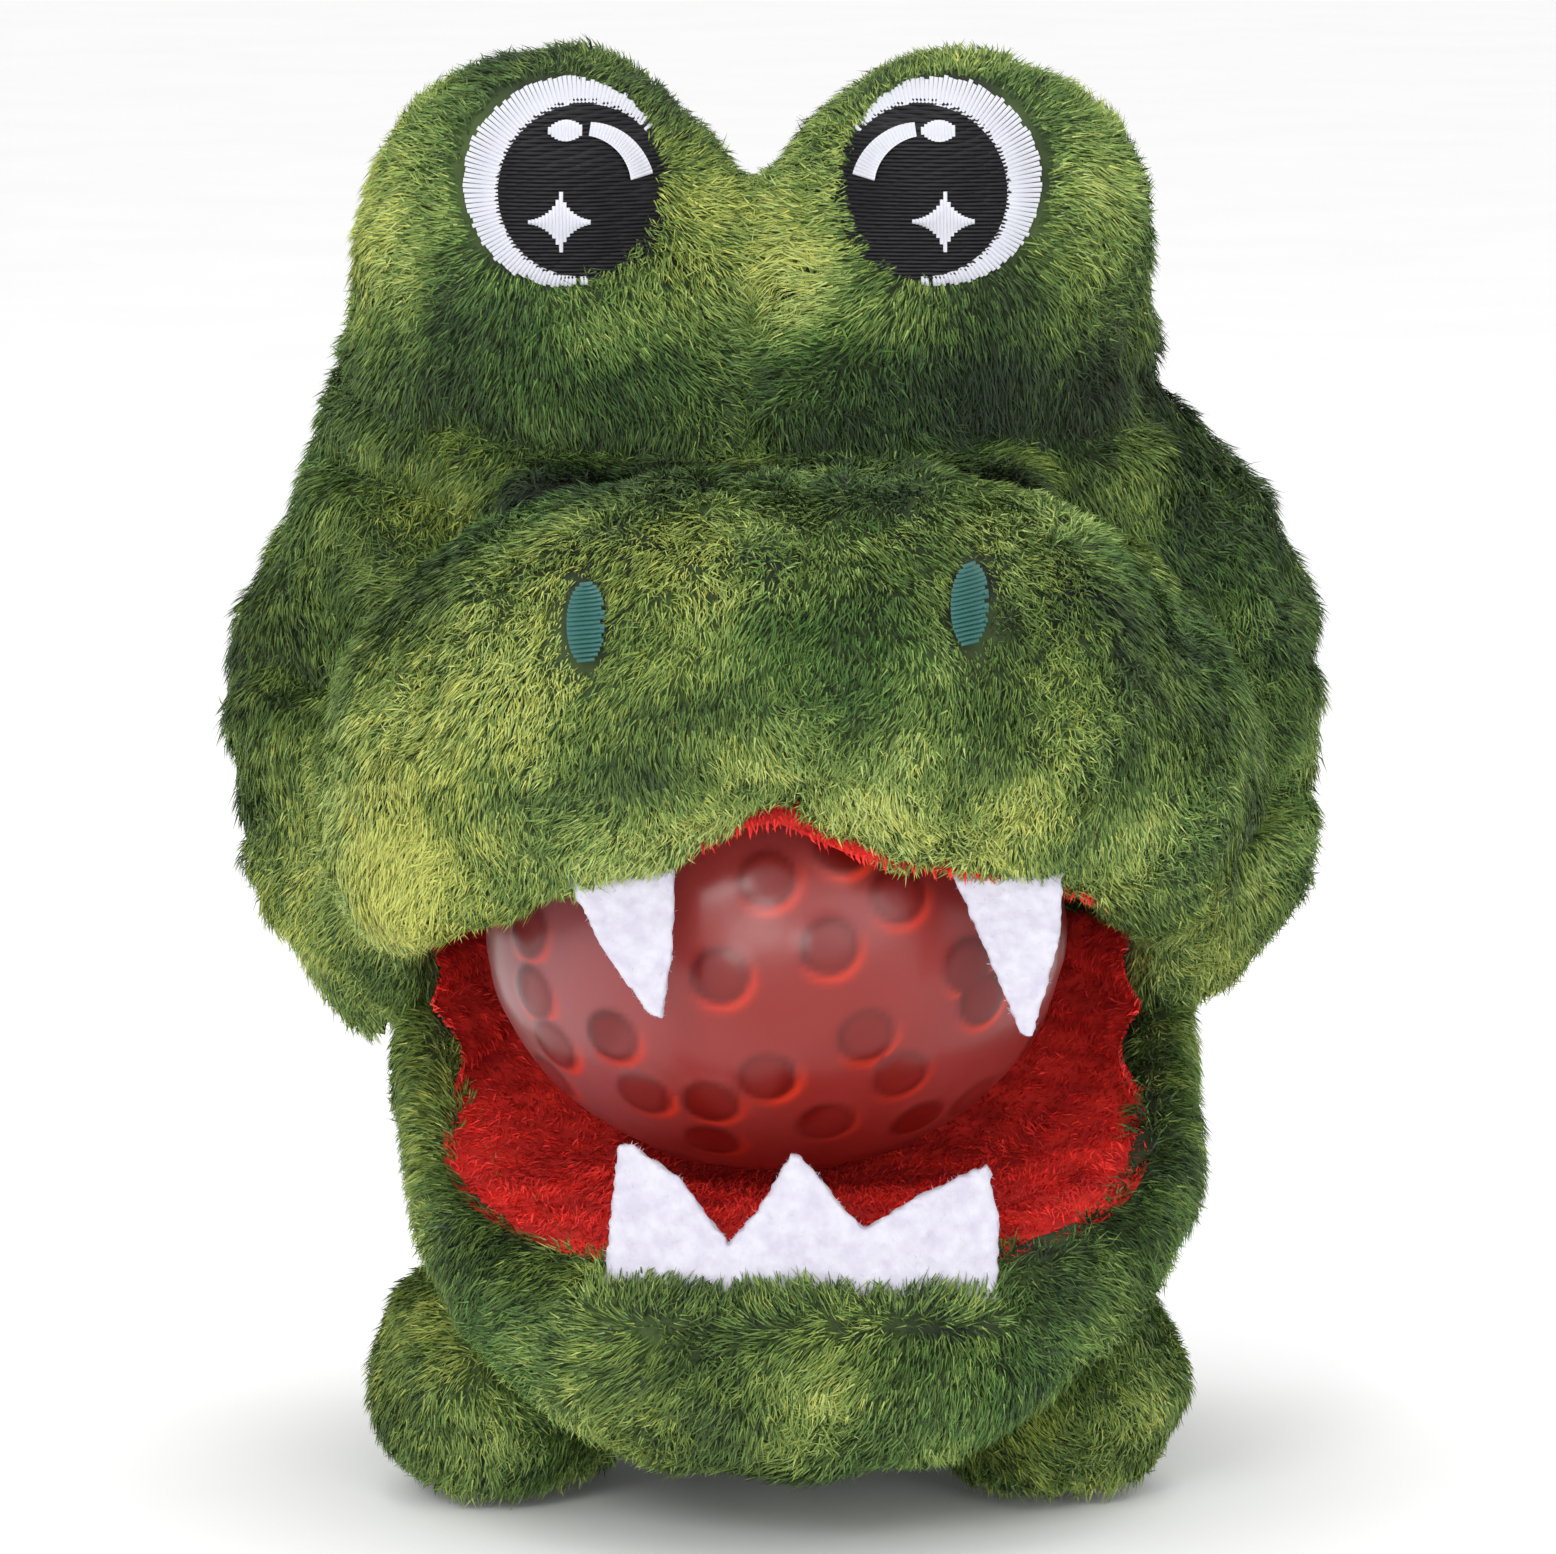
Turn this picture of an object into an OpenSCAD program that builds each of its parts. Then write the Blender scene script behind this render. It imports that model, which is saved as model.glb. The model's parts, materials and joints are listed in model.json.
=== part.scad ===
// Moving-mouth crocodile hand puppet with a bead-filled squeeze ball in its mouth.
// Millimetres. X runs across the face, the face looks along -Y, Z is up and the feet stand on Z = 0.

/* [Squeeze ball] */
// Width of the ball
ball_w = 57.6; // [50:0.2:58]
// Depth of the ball
ball_d = 48; // [40:0.2:48]
// Height of the ball
ball_h = 49; // [40:0.2:49]
// Wall of the ball's clear skin
ball_wall = 1.1; // [0.8:0.1:1.5]
// Diameter of a water bead
bead_d = 8.4; // [7:0.1:8.4]

/* [Cloth] */
// Plush, with its pile
plush = 2.5; // [2:0.1:3]
// Red mouth lining
lining = 1.2; // [0.8:0.1:1.4]
// Foam stiffener behind the lining
foam = 1.5; // [1:0.1:1.6]
// Felt of the teeth
felt = 1.4; // [1:0.1:1.6]
// Height of the embroidery above the plush backing
thread = 0.5; // [0.3:0.1:0.6]

/* [Head] */
// Width across the cheeks
cheeks_w = 112; // [108:1:114]
// Width of the snout
snout_w = 95; // [90:1:97]
// Top of the snout above the floor
snout_top = 109; // [107:1:110]
// Top of the eye bumps above the floor
head_top = 144; // [142:1:146]
// Distance from the middle of the face to the middle of an eye bump
eye_x = 20.5; // [20:0.1:21]
// Radius of the embroidered eye
eye_r = 10.2; // [9:0.1:11]

/* [Jaw] */
// Width over the jaw's side rolls
jaw_w = 81; // [78:1:82]

/* [Hand] */
// Width of the hand opening
opening_w = 62; // [56:1:64]
// Height of the hand opening
opening_h = 46; // [40:1:48]

/* [Hidden] */

AROUND = 36;             // points round a lofted ring
GAP = 0.3;               // air between two soft parts that only touch
ball_c = [0, -12, 58];   // centre of the ball
hinge = [0, 17, 51];     // the fold behind the ball that both jaws turn about
eye_z = head_top - 21;   // centre height of an eye bump
eye_bump_r = [20.2, 17, 21];
eye_bump_y = 9;
eye_lean = -2.3;         // the head was stuffed a little to one side
disc_inset = 2;          // how far an embroidered eye sits towards the other one on its bump
eye_inset = 1.6;         // and how far its black sits from the middle of its white
head_c = [0, 14, 71];    // centre of the flat pillow behind the snout
pillow_front = 20;       // depth of the pillow in front of its seam
pillow_back = 32;        // and behind it
pillow_up = 46;
pillow_down = 34;
roll_r = [9, 10.9];      // half depth and half height of the chin roll at the front
chin_z = 16.1;
jaw_x = 2;               // the lower jaw sits a little to one side
pocket = [46, 42, 12.4];  // inside of the finger pocket
pocket_z = 87.3;
thumb = [21, 50, 15];    // inside of the thumb pocket
thumb_z = 11;
sleeve = 1;              // cloth of both pockets
foot_c = [27, -6, 10];
foot_r = [14, 17, 13];
opening_z = 62;
hem_r = 1.6;

GREEN = "#5c7035";
DARK_GREEN = "#3e5128";
LIGHT_GREEN = "#8a9c48";
RED = "#b31f17";
FILL = "#f2f0e8";
WHITE = "#f3f2f7";
BLACK = "#1c1b20";
TEAL = "#4f807a";
INNER_CLOTH = "#6f8450";

// ---------- shapes ----------

// A closed solid from rings of points. The first and last rings may be single points.
module loft(rings) {
    sizes = [for (r = rings) len(r)];
    starts = [for (i = 0, s = 0; i < len(rings); s = s + sizes[i], i = i + 1) s];
    points = [for (r = rings) for (p = r) p];
    faces = [for (i = [0 : len(rings) - 2]) each band(starts[i], sizes[i], starts[i + 1], sizes[i + 1])];
    polyhedron(points, faces, convexity = 8);
}

// The triangles between two rings that start at points a and b and have n and m points.
function band(a, n, b, m) =
    n == 1 ? [for (k = [0 : m - 1]) [a, b + (k + 1) % m, b + k]]
    : m == 1 ? [for (k = [0 : n - 1]) [a + k, a + (k + 1) % n, b]]
    : [for (k = [0 : n - 1]) each [
        [a + k, a + (k + 1) % n, b + (k + 1) % n],
        [a + k, b + (k + 1) % n, b + k]
    ]];

// The same for a solid with one hole through it: the last ring joins the first.
module ring_loft(rings) {
    n = len(rings[0]);
    count = len(rings);
    points = [for (r = rings) for (p = r) p];
    faces = [for (i = [0 : count - 1]) each band(i * n, n, ((i + 1) % count) * n, n)];
    polyhedron(points, faces, convexity = 8);
}

module ellipsoid(c, r, fn = 32) {
    translate(c) scale(r) sphere(1, $fn = fn);
}

// A padded lump's cloth: the ellipsoid's outer layer.
module ellipsoid_skin(c, r, t = plush) {
    difference() {
        ellipsoid(c, r);
        ellipsoid(c, [for (a = r) a - t]);
    }
}

module ellipsoid_filling(c, r, t = plush) {
    ellipsoid(c, [for (a = r) a - t - GAP]);
}

function power(x, q) = sign(x) * pow(abs(x), q);

// A point on a rounded rectangle in plan: half width a, front depth f, back depth b. Angle 0 is the front.
function plan(c, a, f, b, u, q = 0.75) = [
    c[0] + a * power(sin(u), q),
    c[1] - (cos(u) > 0 ? f : b) * power(cos(u), q)
];

function angles() = [for (k = [0 : AROUND - 1]) k * 360 / AROUND];

// ---------- forms that several parts share ----------

palate_plan = [37, 29, 28.5];  // half width, front depth and back depth of the palate
jaw_plan = [35, 26, 27.5];     // and of the lower lining
jaw_low = 31;                  // the lower lining's height under the ball
palate_side_z = 53;            // height of the palate's edge at the mouth corners
lip_rise = 13;                 // how much higher the edge lies at the front

// The mouth's upper surface, grown by o. It is a bowl over the ball with its edge at the upper lip.
function palate_edge_z(u) = palate_side_z + lip_rise * pow(max(0, cos(u)), 1.3);
function palate_ring(v, o) = [for (u = angles())
    let (
        c = [0, ball_c[1]],
        e = plan(c, palate_plan[0] + o, palate_plan[1] + o, palate_plan[2] + o, u),
        top = palate_top + o
    )
    [c[0] + v * (e[0] - c[0]), c[1] + v * (e[1] - c[1]), top - (top - palate_edge_z(u)) * pow(v, 4)]];
palate_top = ball_c[2] + ball_h / 2 + 0.6;
palate_steps = [0.3, 0.55, 0.72, 0.84, 0.93, 1];

module palate_layer(o, t) {
    lower = [for (v = palate_steps) palate_ring(v, o)];
    upper = [for (v = palate_steps) palate_ring(v, o + t)];
    loft(concat(
        [[[0, ball_c[1], palate_top + o + t]]], upper,
        [for (i = [len(palate_steps) - 1 : -1 : 0]) lower[i]],
        [[[0, ball_c[1], palate_top + o]]]
    ));
}

// The room under the palate, down to well inside the mouth.
mouth_floor_z = 40;
module palate_form(o) {
    rim = palate_ring(1, o);
    loft(concat(
        [[[0, ball_c[1], palate_top + o]]], [for (v = palate_steps) palate_ring(v, o)],
        [[for (p = rim) [p[0], p[1], mouth_floor_z]]], [[[0, ball_c[1], mouth_floor_z]]]
    ));
}

// The mouth's lower surface, lowered by o. It is a shallow bowl under the ball that rises to the hinge.
rim_z = 27.3;            // height of the lower lip's edge at the front
function jaw_edge_z(y) = rim_z + 22 * pow(min(1, max(0, (y + 38) / 54)), 1.25);
function jaw_ring(v, o) = [for (u = angles())
    let (
        c = [jaw_x, ball_c[1]],
        e = plan(c, jaw_plan[0] + o, jaw_plan[1] + o, jaw_plan[2] + o, u),
        edge = jaw_edge_z(plan(c, jaw_plan[0], jaw_plan[1], jaw_plan[2], u)[1]),
        low = jaw_low - o
    )
    [c[0] + v * (e[0] - c[0]), c[1] + v * (e[1] - c[1]), low + (edge - low) * pow(v, 3)]];
jaw_steps = [0.35, 0.6, 0.8, 0.92, 1];

module jaw_layer(o, t) {
    upper = [for (v = jaw_steps) jaw_ring(v, o)];
    lower = [for (v = jaw_steps) jaw_ring(v, o + t)];
    loft(concat(
        [[[jaw_x, ball_c[1], jaw_low - o]]], upper,
        [for (i = [len(jaw_steps) - 1 : -1 : 0]) lower[i]],
        [[[jaw_x, ball_c[1], jaw_low - o - t]]]
    ));
}

// The room over the lower lining, up to well inside the mouth.
mouth_ceiling_z = 66;
module jaw_form(o) {
    rim = jaw_ring(1, o);
    loft(concat(
        [[[jaw_x, ball_c[1], mouth_ceiling_z]]], [[for (p = rim) [p[0], p[1], mouth_ceiling_z]]],
        [for (i = [len(jaw_steps) - 1 : -1 : 0]) jaw_ring(jaw_steps[i], o)],
        [[[jaw_x, ball_c[1], jaw_low - o]]]
    ));
}

// The snout's outside, grown by o: a dome whose lower edge is the upper lip.
snout_c = [1, -14];
snout_front = 38;        // from its middle forwards
snout_rear = 16;         // and backwards
bulge = 8;               // how far the widest line of the snout lies above its lip
tuck = 0.92;             // how far the lip is drawn in under that line
function lip_z(u) = palate_side_z + 1 + lip_rise * pow(max(0, cos(u)), 1.5);
function snout_ring(v, o) = [for (u = angles())
    let (
        e = plan(snout_c, snout_w / 2 + o, snout_front + o, snout_rear + o, u, 0.8),
        low = lip_z(u) + bulge
    )
    [snout_c[0] + v * (e[0] - snout_c[0]), snout_c[1] + v * (e[1] - snout_c[1]),
     low + (snout_top + o - low) * pow(1 - pow(v, 2.6), 0.42)]];
snout_steps = [0.3, 0.55, 0.72, 0.85, 0.94, 1];

module snout_form(o) {
    rim = snout_ring(1, o);
    loft(concat(
        [[[snout_c[0], snout_c[1], snout_top + o]]], [for (v = snout_steps) snout_ring(v, o)],
        [[for (p = rim) [
            snout_c[0] + tuck * (p[0] - snout_c[0]),
            snout_c[1] + tuck * (p[1] - snout_c[1]),
            p[2] - bulge - o
        ]]],
        [[[snout_c[0], snout_c[1], palate_side_z + 3 - o]]]
    ));
}

// The flat pillow of the head, grown by o. side is -1 for its front half and 1 for its back half.
function pillow_depth(side) = side < 0 ? pillow_front : pillow_back;
function pillow_ring(v, o, side) = [for (u = angles())
    let (dz = cos(u) > 0 ? pillow_up : pillow_down)
    [head_c[0] + v * (cheeks_w / 2 + o) * power(sin(u), 0.8),
     head_c[1] + side * (0.2 + (pillow_depth(side) - 0.2 + o) * pow(1 - pow(v, 3), 0.6)),
     head_c[2] + v * (dz + o) * power(cos(u), 0.8)]];
pillow_steps = [0.35, 0.6, 0.78, 0.9, 0.97, 1];

module pillow_half(o, side) {
    rings = concat(
        [[head_c + [0, side * (pillow_depth(side) + o), 0]]],
        [for (v = pillow_steps) pillow_ring(v, o, side)],
        [[head_c + [0, side * 0.2, 0]]]
    );
    loft(side < 0 ? rings : [for (i = [len(rings) - 1 : -1 : 0]) rings[i]]);
}

// One half of the pillow's cloth, from its middle out to the seam.
module pillow_cloth(side) {
    outer = [for (v = pillow_steps) pillow_ring(v, 0, side)];
    inner = [for (i = [len(pillow_steps) - 1 : -1 : 0]) pillow_ring(pillow_steps[i], -plush, side)];
    rings = concat(
        [[head_c + [0, side * pillow_depth(side), 0]]],
        outer,
        inner,
        [[head_c + [0, side * (pillow_depth(side) - plush), 0]]]
    );
    loft(side < 0 ? rings : [for (i = [len(rings) - 1 : -1 : 0]) rings[i]]);
}

// The chin roll's middle line, from the left mouth corner round the front to the right one, s from -90 to 90.
roll_front = 27;         // how far the roll reaches in front of the mouth corners
corner_y = -9.5;
function roll_mid(s) =
    let (e = plan([0, corner_y], jaw_w / 2 - 5, roll_front, 20, s, 0.7), y = e[1] + (abs(s) > 80 ? 2 : 0))
    [jaw_x + e[0], y, chin_z + (jaw_edge_z(y) - rim_z) * 0.98 + 2 * pow(abs(sin(s)), 3)];
function roll_ring(s, shrink) =
    let (
        m = roll_mid(s),
        side = pow(abs(sin(s)), 2.2),
        a = roll_r[0] - side * 4.6 - shrink,
        b = roll_r[1] - side * 5.6 - shrink
    )
    [for (k = [0 : 13]) let (w = k * 360 / 14)
        m + [a * sin(s) * cos(w), -a * cos(s) * cos(w), b * sin(w)]];

module chin_roll(shrink) {
    stops = [for (s = [-90 : 9 : 90]) s];
    rings = [for (s = stops) roll_ring(s, shrink)];
    loft(concat([[roll_mid(-90)]], rings, [[roll_mid(90)]]));
}

module finger_pocket_box(grow) {
    size = pocket + [2 * (sleeve + grow), sleeve + grow, 2 * (sleeve + grow)];
    translate([-size[0] / 2, hinge[1] + 3 - size[1] + grow, pocket_z - sleeve - grow]) cube(size);
}

module thumb_pocket_box(grow) {
    size = thumb + [2 * (sleeve + grow), sleeve + grow, 2 * (sleeve + grow)];
    translate([-size[0] / 2, 23 - size[1] + grow, thumb_z - sleeve - grow]) cube(size);
}

function bump_c(side) = [eye_lean + side * eye_x, eye_bump_y, eye_z];

module eye_bump(side, grow) {
    ellipsoid(bump_c(side), [for (a = eye_bump_r) a + grow], 40);
}

// ---------- sleeve, flanks and feet: the body that stands still ----------

// One panel from the hand opening to the outer edge of the back, then forwards along the sleeve's sides.
module back_panel() {
    color(GREEN) difference() {
        ring_loft(concat(
            [for (v = [0, 0.35, 0.7, 0.93]) back_ring(v, 0)],
            [side_ring(38, 0), side_ring(29, 0), side_ring(19, 0)],
            [side_ring(19, plush), side_ring(29, plush), side_ring(38, plush)],
            [for (v = [0.9, 0.7, 0.35, 0]) back_ring(v, plush)]
        ));
        finger_way();
    }
}

// The sleeve is open at the top, where the fingers go up into the head.
module finger_way() {
    translate([-24, 10, 75]) cube([48, 28, 20]);
}

// The outline of the sleeve, shrunk by t. It is narrow at the feet and widens behind the cheeks.
function sleeve_half_width(z) = 33 + 11 * min(1, max(0, (z - 38) / 22));
function sleeve_point(u, t) =
    let (z = 46 + ((cos(u) > 0 ? 40.5 : 42.9) - t) * power(cos(u), 0.6))
    [(sleeve_half_width(z) - t) * power(sin(u), 0.6), z];

// The back runs from the hand opening (v 0) towards the sleeve's outline (v 1). Depth t sinks it inwards.
function back_ring(v, t) = [for (u = angles())
    let (
        inner = [opening_w / 2 * sin(u), opening_z + opening_h / 2 * cos(u)],
        outer = sleeve_point(u, t),
        x = inner[0] + v * (outer[0] - inner[0]),
        z = inner[1] + v * (outer[1] - inner[1])
    )
    [x, 46 - t - 5 * pow(abs(x) / 44, 3) - 4 * pow(abs(z - 50) / 45, 3), z]];

function side_ring(y, t) = [for (u = angles()) let (p = sleeve_point(u, t)) [p[0], y, p[1]]];

module opening_hem() {
    color(DARK_GREEN) translate([0, 44.9, opening_z])
        scale([(opening_w / 2 - 0.5) / (opening_h / 2 - GAP), 0.8, 1])
            rotate([90, 0, 0]) rotate_extrude($fn = 72)
                translate([opening_h / 2 - GAP - hem_r, 0]) circle(hem_r, $fn = 24);
}

// The sole: a rounded panel under the sleeve with a tongue that runs forward between the feet.
module base_panel() {
    outline = [for (k = [0 : 47]) let (u = k * 7.5) [28 * power(sin(u), 0.6), 27 + 14 * power(cos(u), 0.6)]];
    color(DARK_GREEN) linear_extrude(3) union() {
        polygon(outline);
        translate([-11, -6]) square([22, 24]);
    }
}

flank_c = [24.2, 24, 31];
flank_r = [4.4, 11, 15];
flank_cloth = 1.2;

module flank_panel(side) {
    color(GREEN) ellipsoid_skin([side * flank_c[0], flank_c[1], flank_c[2]], flank_r, flank_cloth);
}

module flank_stuffing(side) {
    color(FILL) ellipsoid_filling([side * flank_c[0], flank_c[1], flank_c[2]], flank_r, flank_cloth);
}

module floor_cut(z = 0) {
    translate([-100, -100, z - 60]) cube([200, 200, 60]);
}

module foot_skin(side) {
    c = [side * foot_c[0], foot_c[1], foot_c[2]];
    color(LIGHT_GREEN) difference() {
        ellipsoid(c, foot_r);
        floor_cut();
        difference() {
            ellipsoid(c, [for (a = foot_r) a - plush]);
            floor_cut(plush);
        }
    }
}

module foot_stuffing(side) {
    c = [side * foot_c[0], foot_c[1], foot_c[2]];
    color(FILL) difference() {
        ellipsoid(c, [for (a = foot_r) a - plush - GAP]);
        floor_cut(plush + GAP);
    }
}

// The round stitched tape that both jaws fold about.
module hinge_tape() {
    color(RED) translate([-25, hinge[1], hinge[2]]) rotate([0, 90, 0]) cylinder(r = 0.9, h = 50, $fn = 24);
}

module care_label() {
    color(WHITE) translate([16, 43.9, 9]) rotate([-8, 0, 0]) cube([12, 0.6, 16]);
}

// ---------- head: snout, eyes and cheeks ----------

module face_panel() {
    color(GREEN) difference() {
        pillow_cloth(-1);
        snout_form(GAP);
        palate_form(lining + foam + 2 * GAP);
        finger_pocket_box(GAP);
        mouth_side_room();
        for (side = [-1, 1]) eye_bump(side, GAP);
    }
}

// The face's cloth ends at the mouth corners.
module mouth_side_room() {
    translate([-38.3, -20, 0]) cube([76.6, 40, 62]);
}

// The back of the head: an arch over the top and down both sides of the back panel.
module crown_panel() {
    color(GREEN) difference() {
        pillow_cloth(1);
        translate([-48, 0, 0]) cube([96, 80, 94]);
        for (side = [-1, 1]) eye_bump(side, GAP);
    }
}

module crown_stuffing() {
    color(FILL) difference() {
        intersection() {
            pillow_half(-plush - GAP, 1);
            translate([-80, -20, pocket_z + pocket[2] + 2]) cube([160, 100, 40]);
        }
        finger_pocket_box(GAP);
        snout_form(GAP);
        for (side = [-1, 1]) eye_bump(side, GAP);
    }
}

module cheek_stuffing(side) {
    color(FILL) difference() {
        ellipsoid([side * 40, 9, 70], [6.5, 5.5, 18]);
        palate_form(lining + foam + 2 * GAP);
        snout_form(GAP);
        finger_pocket_box(GAP);
    }
}

module eye_bump_skin(side) {
    color(GREEN) ellipsoid_skin(bump_c(side), eye_bump_r);
}

module eye_bump_stuffing(side) {
    color(FILL) ellipsoid_filling(bump_c(side), eye_bump_r);
}

eye_disc_z = eye_z + 7.8;

// A layer of stitches on the bump's face between heights low and high, cut to the children's outline.
module eye_layer(side, low, high) {
    difference() {
        intersection() {
            eye_bump(side, high);
            translate([bump_c(side)[0] - side * disc_inset, 0, eye_disc_z]) rotate([90, 0, 0])
                linear_extrude(40) children();
        }
        eye_bump(side, low);
    }
}

module eye_white(side) {
    color(WHITE) eye_layer(side, 0, thread) difference() {
        circle(eye_r, $fn = 64);
        translate([-side * eye_inset, 0]) circle(eye_r - 1.9, $fn = 64);
    }
}

module eye_black(side) {
    color(BLACK) eye_layer(side, 0, thread) translate([-side * eye_inset, 0]) circle(eye_r - 1.95, $fn = 64);
}

// A four-pointed star, an arc of light and a small dot.
module eye_highlights(side) {
    star = [for (k = [0 : 7]) let (r = k % 2 == 0 ? 3 : 1) [r * sin(k * 45), r * cos(k * 45)]];
    color(WHITE) eye_layer(side, thread, thread + 0.4) {
        translate([-1.2, -3]) polygon(star);
        translate([-side * eye_inset, 0]) intersection() {
            difference() {
                circle(7, $fn = 48);
                circle(5.2, $fn = 48);
            }
            polygon([[0, 0], [-side * 3, 9], [-side * 9, 6]]);
        }
        translate([-side * 0.4, 5.6]) circle(1.2, $fn = 24);
    }
}

// The snout ends at the face and is open towards the head, where the fingers come in.
module snout_back() {
    translate([-60, 0, 40]) cube([120, 40, 100]);
}

module snout_opening() {
    translate([-34, -8, 55]) cube([68, 20, 47]);
}

module snout_skin() {
    color(GREEN) difference() {
        snout_form(0);
        snout_form(-plush);
        palate_form(lining + foam + 2 * GAP);
        snout_back();
        snout_opening();
    }
}

module snout_stuffing() {
    color(FILL) difference() {
        snout_form(-plush - GAP);
        palate_form(lining + foam + 2 * GAP);
        finger_pocket_box(GAP);
        snout_back();
    }
}

module nostril(side) {
    color(TEAL) difference() {
        intersection() {
            snout_form(thread);
            translate([snout_c[0] + side * 19, -30, 92.5]) rotate([90, 0, 0]) linear_extrude(40)
                scale([2.1, 4]) circle(1, $fn = 32);
        }
        snout_form(0);
    }
}

module palate_lining() {
    color(RED) palate_layer(0, lining);
}

module palate_stiffener() {
    color(LIGHT_GREEN) palate_layer(lining + GAP, foam);
}

// A felt triangle that hangs from the lip at x and height z, w wide and h long. Its tip is at share t of w.
module fang(x, z, w, h, t) {
    color(WHITE) difference() {
        translate([x, -44.6, 0]) rotate([90, 0, 0]) linear_extrude(felt)
            polygon([[0, z], [w, z], [w, z - h * 0.3], [w * t, z - h], [0, z - h * 0.2]]);
        snout_form(GAP);
    }
}

module finger_pocket() {
    color(INNER_CLOTH) difference() {
        finger_pocket_box(0);
        translate([-pocket[0] / 2, hinge[1] + 3 - pocket[1], pocket_z]) cube(pocket + [0, 1, 0]);
    }
}

// ---------- lower jaw ----------

module chin_skin() {
    color(GREEN) difference() {
        chin_roll(0);
        chin_roll(plush);
        jaw_form(lining + foam + 2 * GAP);
        thumb_pocket_box(GAP);
    }
}

module chin_stuffing() {
    color(FILL) difference() {
        chin_roll(plush + GAP);
        jaw_form(lining + foam + 2 * GAP);
        thumb_pocket_box(GAP);
    }
}

module jaw_lining() {
    color(RED) jaw_layer(0, lining);
}

module jaw_stiffener() {
    color(LIGHT_GREEN) jaw_layer(lining + GAP, foam);
}

// One strip of felt with three points.
module lower_teeth() {
    outline = [[-17.5, 27.4], [22.2, 27.4], [20.8, 38.6], [8.4, 32.3], [1.8, 39.6], [-4.5, 31], [-15, 40]];
    color(WHITE) translate([0, -41.6, 0]) rotate([90, 0, 0]) linear_extrude(felt) polygon(outline);
}

module thumb_pocket() {
    color(INNER_CLOTH) difference() {
        thumb_pocket_box(0);
        translate([-thumb[0] / 2, 23 - thumb[1], thumb_z]) cube(thumb + [0, 1, 0]);
        jaw_form(lining + foam + 2 * GAP);
    }
}

module jaw_under_panel() {
    color(DARK_GREEN) translate([-11.5, -26, thumb_z - sleeve - GAP - 2]) cube([23, 44, 2]);
}

// Pleated lining between the two jaws at one mouth corner.
module mouth_gusset(side) {
    outline = [[-24, 42], [-25, 52.4], [12, 51.6], [12, 50.6], [-8, 46]];
    color(RED) translate([side * 37.6 - 0.3, 0, 0]) rotate([90, 0, 90]) linear_extrude(0.6) polygon(outline);
}

// ---------- squeeze ball ----------

ball_r = [ball_w, ball_d, ball_h] / 2;

module ball_skin() {
    color("#c98a92") difference() {
        ellipsoid(ball_c, ball_r, 64);
        ellipsoid(ball_c, [for (a = ball_r) a - ball_wall], 64);
        plug_hole(0);
    }
}

// The plug sits in a round hole at the back of the ball.
plug_r = 2.5;
module plug_hole(shrink) {
    translate(ball_c + [0, ball_r[1] - 6, 0]) rotate([-90, 0, 0]) cylinder(r = plug_r - shrink, h = 7, $fn = 32);
}

module ball_plug() {
    color("#e6d9da") intersection() {
        plug_hole(0.05);
        ellipsoid(ball_c, ball_r, 64);
    }
}

// Beads lie in close-packed layers inside the skin.
bead_step = bead_d + 0.15;
layer_step = bead_step * sqrt(2 / 3);
function bead_at(i, j, k) = [
    (i + (abs(j) % 2) / 2 + (abs(k) % 2) / 2) * bead_step,
    (j * sqrt(3) / 2 + (abs(k) % 2) * sqrt(3) / 6) * bead_step,
    k * layer_step
];
function inside_ball(p, margin) =
    pow(p[0] / (ball_r[0] - margin), 2) + pow(p[1] / (ball_r[1] - margin), 2) + pow(p[2] / (ball_r[2] - margin), 2) < 1;
beads = [for (i = [-6 : 6], j = [-4 : 4], k = [-4 : 4])
    let (p = bead_at(i, j, k))
    if (inside_ball(p, ball_wall + bead_d / 2 + 0.4) && p[1] < ball_r[1] - 11) p];

module water_beads() {
    color("#c81a0e") for (p = beads) translate(ball_c + p) sphere(d = bead_d, $fn = 24);
}

module ball_water() {
    color("#a85560") difference() {
        ellipsoid(ball_c, [for (a = ball_r) a - ball_wall - 0.05], 64);
        for (p = beads) translate(ball_c + p) sphere(d = bead_d + 0.1, $fn = 24);
        plug_hole(-0.05);
    }
}

back_panel();
opening_hem();
base_panel();
flank_panel(-1);  // left_flank_panel
flank_stuffing(-1);  // left_flank_stuffing
flank_panel(1);  // right_flank_panel
flank_stuffing(1);  // right_flank_stuffing
foot_skin(-1);  // left_foot_skin
foot_stuffing(-1);  // left_foot_stuffing
foot_skin(1);  // right_foot_skin
foot_stuffing(1);  // right_foot_stuffing
hinge_tape();
care_label();
face_panel();
crown_panel();
crown_stuffing();
cheek_stuffing(-1);  // left_cheek_stuffing
cheek_stuffing(1);  // right_cheek_stuffing
eye_bump_skin(-1);  // left_eye_bump_skin
eye_bump_stuffing(-1);  // left_eye_bump_stuffing
eye_bump_skin(1);  // right_eye_bump_skin
eye_bump_stuffing(1);  // right_eye_bump_stuffing
eye_white(-1);  // left_eye_white
eye_black(-1);  // left_eye_black
eye_highlights(-1);  // left_eye_highlights
eye_white(1);  // right_eye_white
eye_black(1);  // right_eye_black
eye_highlights(1);  // right_eye_highlights
snout_skin();
snout_stuffing();
nostril(-1);  // left_nostril
nostril(1);  // right_nostril
palate_lining();
palate_stiffener();
fang(-20.3, 65, 10.5, 11.5, 0.9);  // left_fang
fang(16.4, 66.4, 11, 15.2, 0.7);  // right_fang
finger_pocket();
chin_skin();
chin_stuffing();
jaw_lining();
jaw_stiffener();
lower_teeth();
thumb_pocket();
jaw_under_panel();
mouth_gusset(-1);  // left_mouth_gusset
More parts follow.
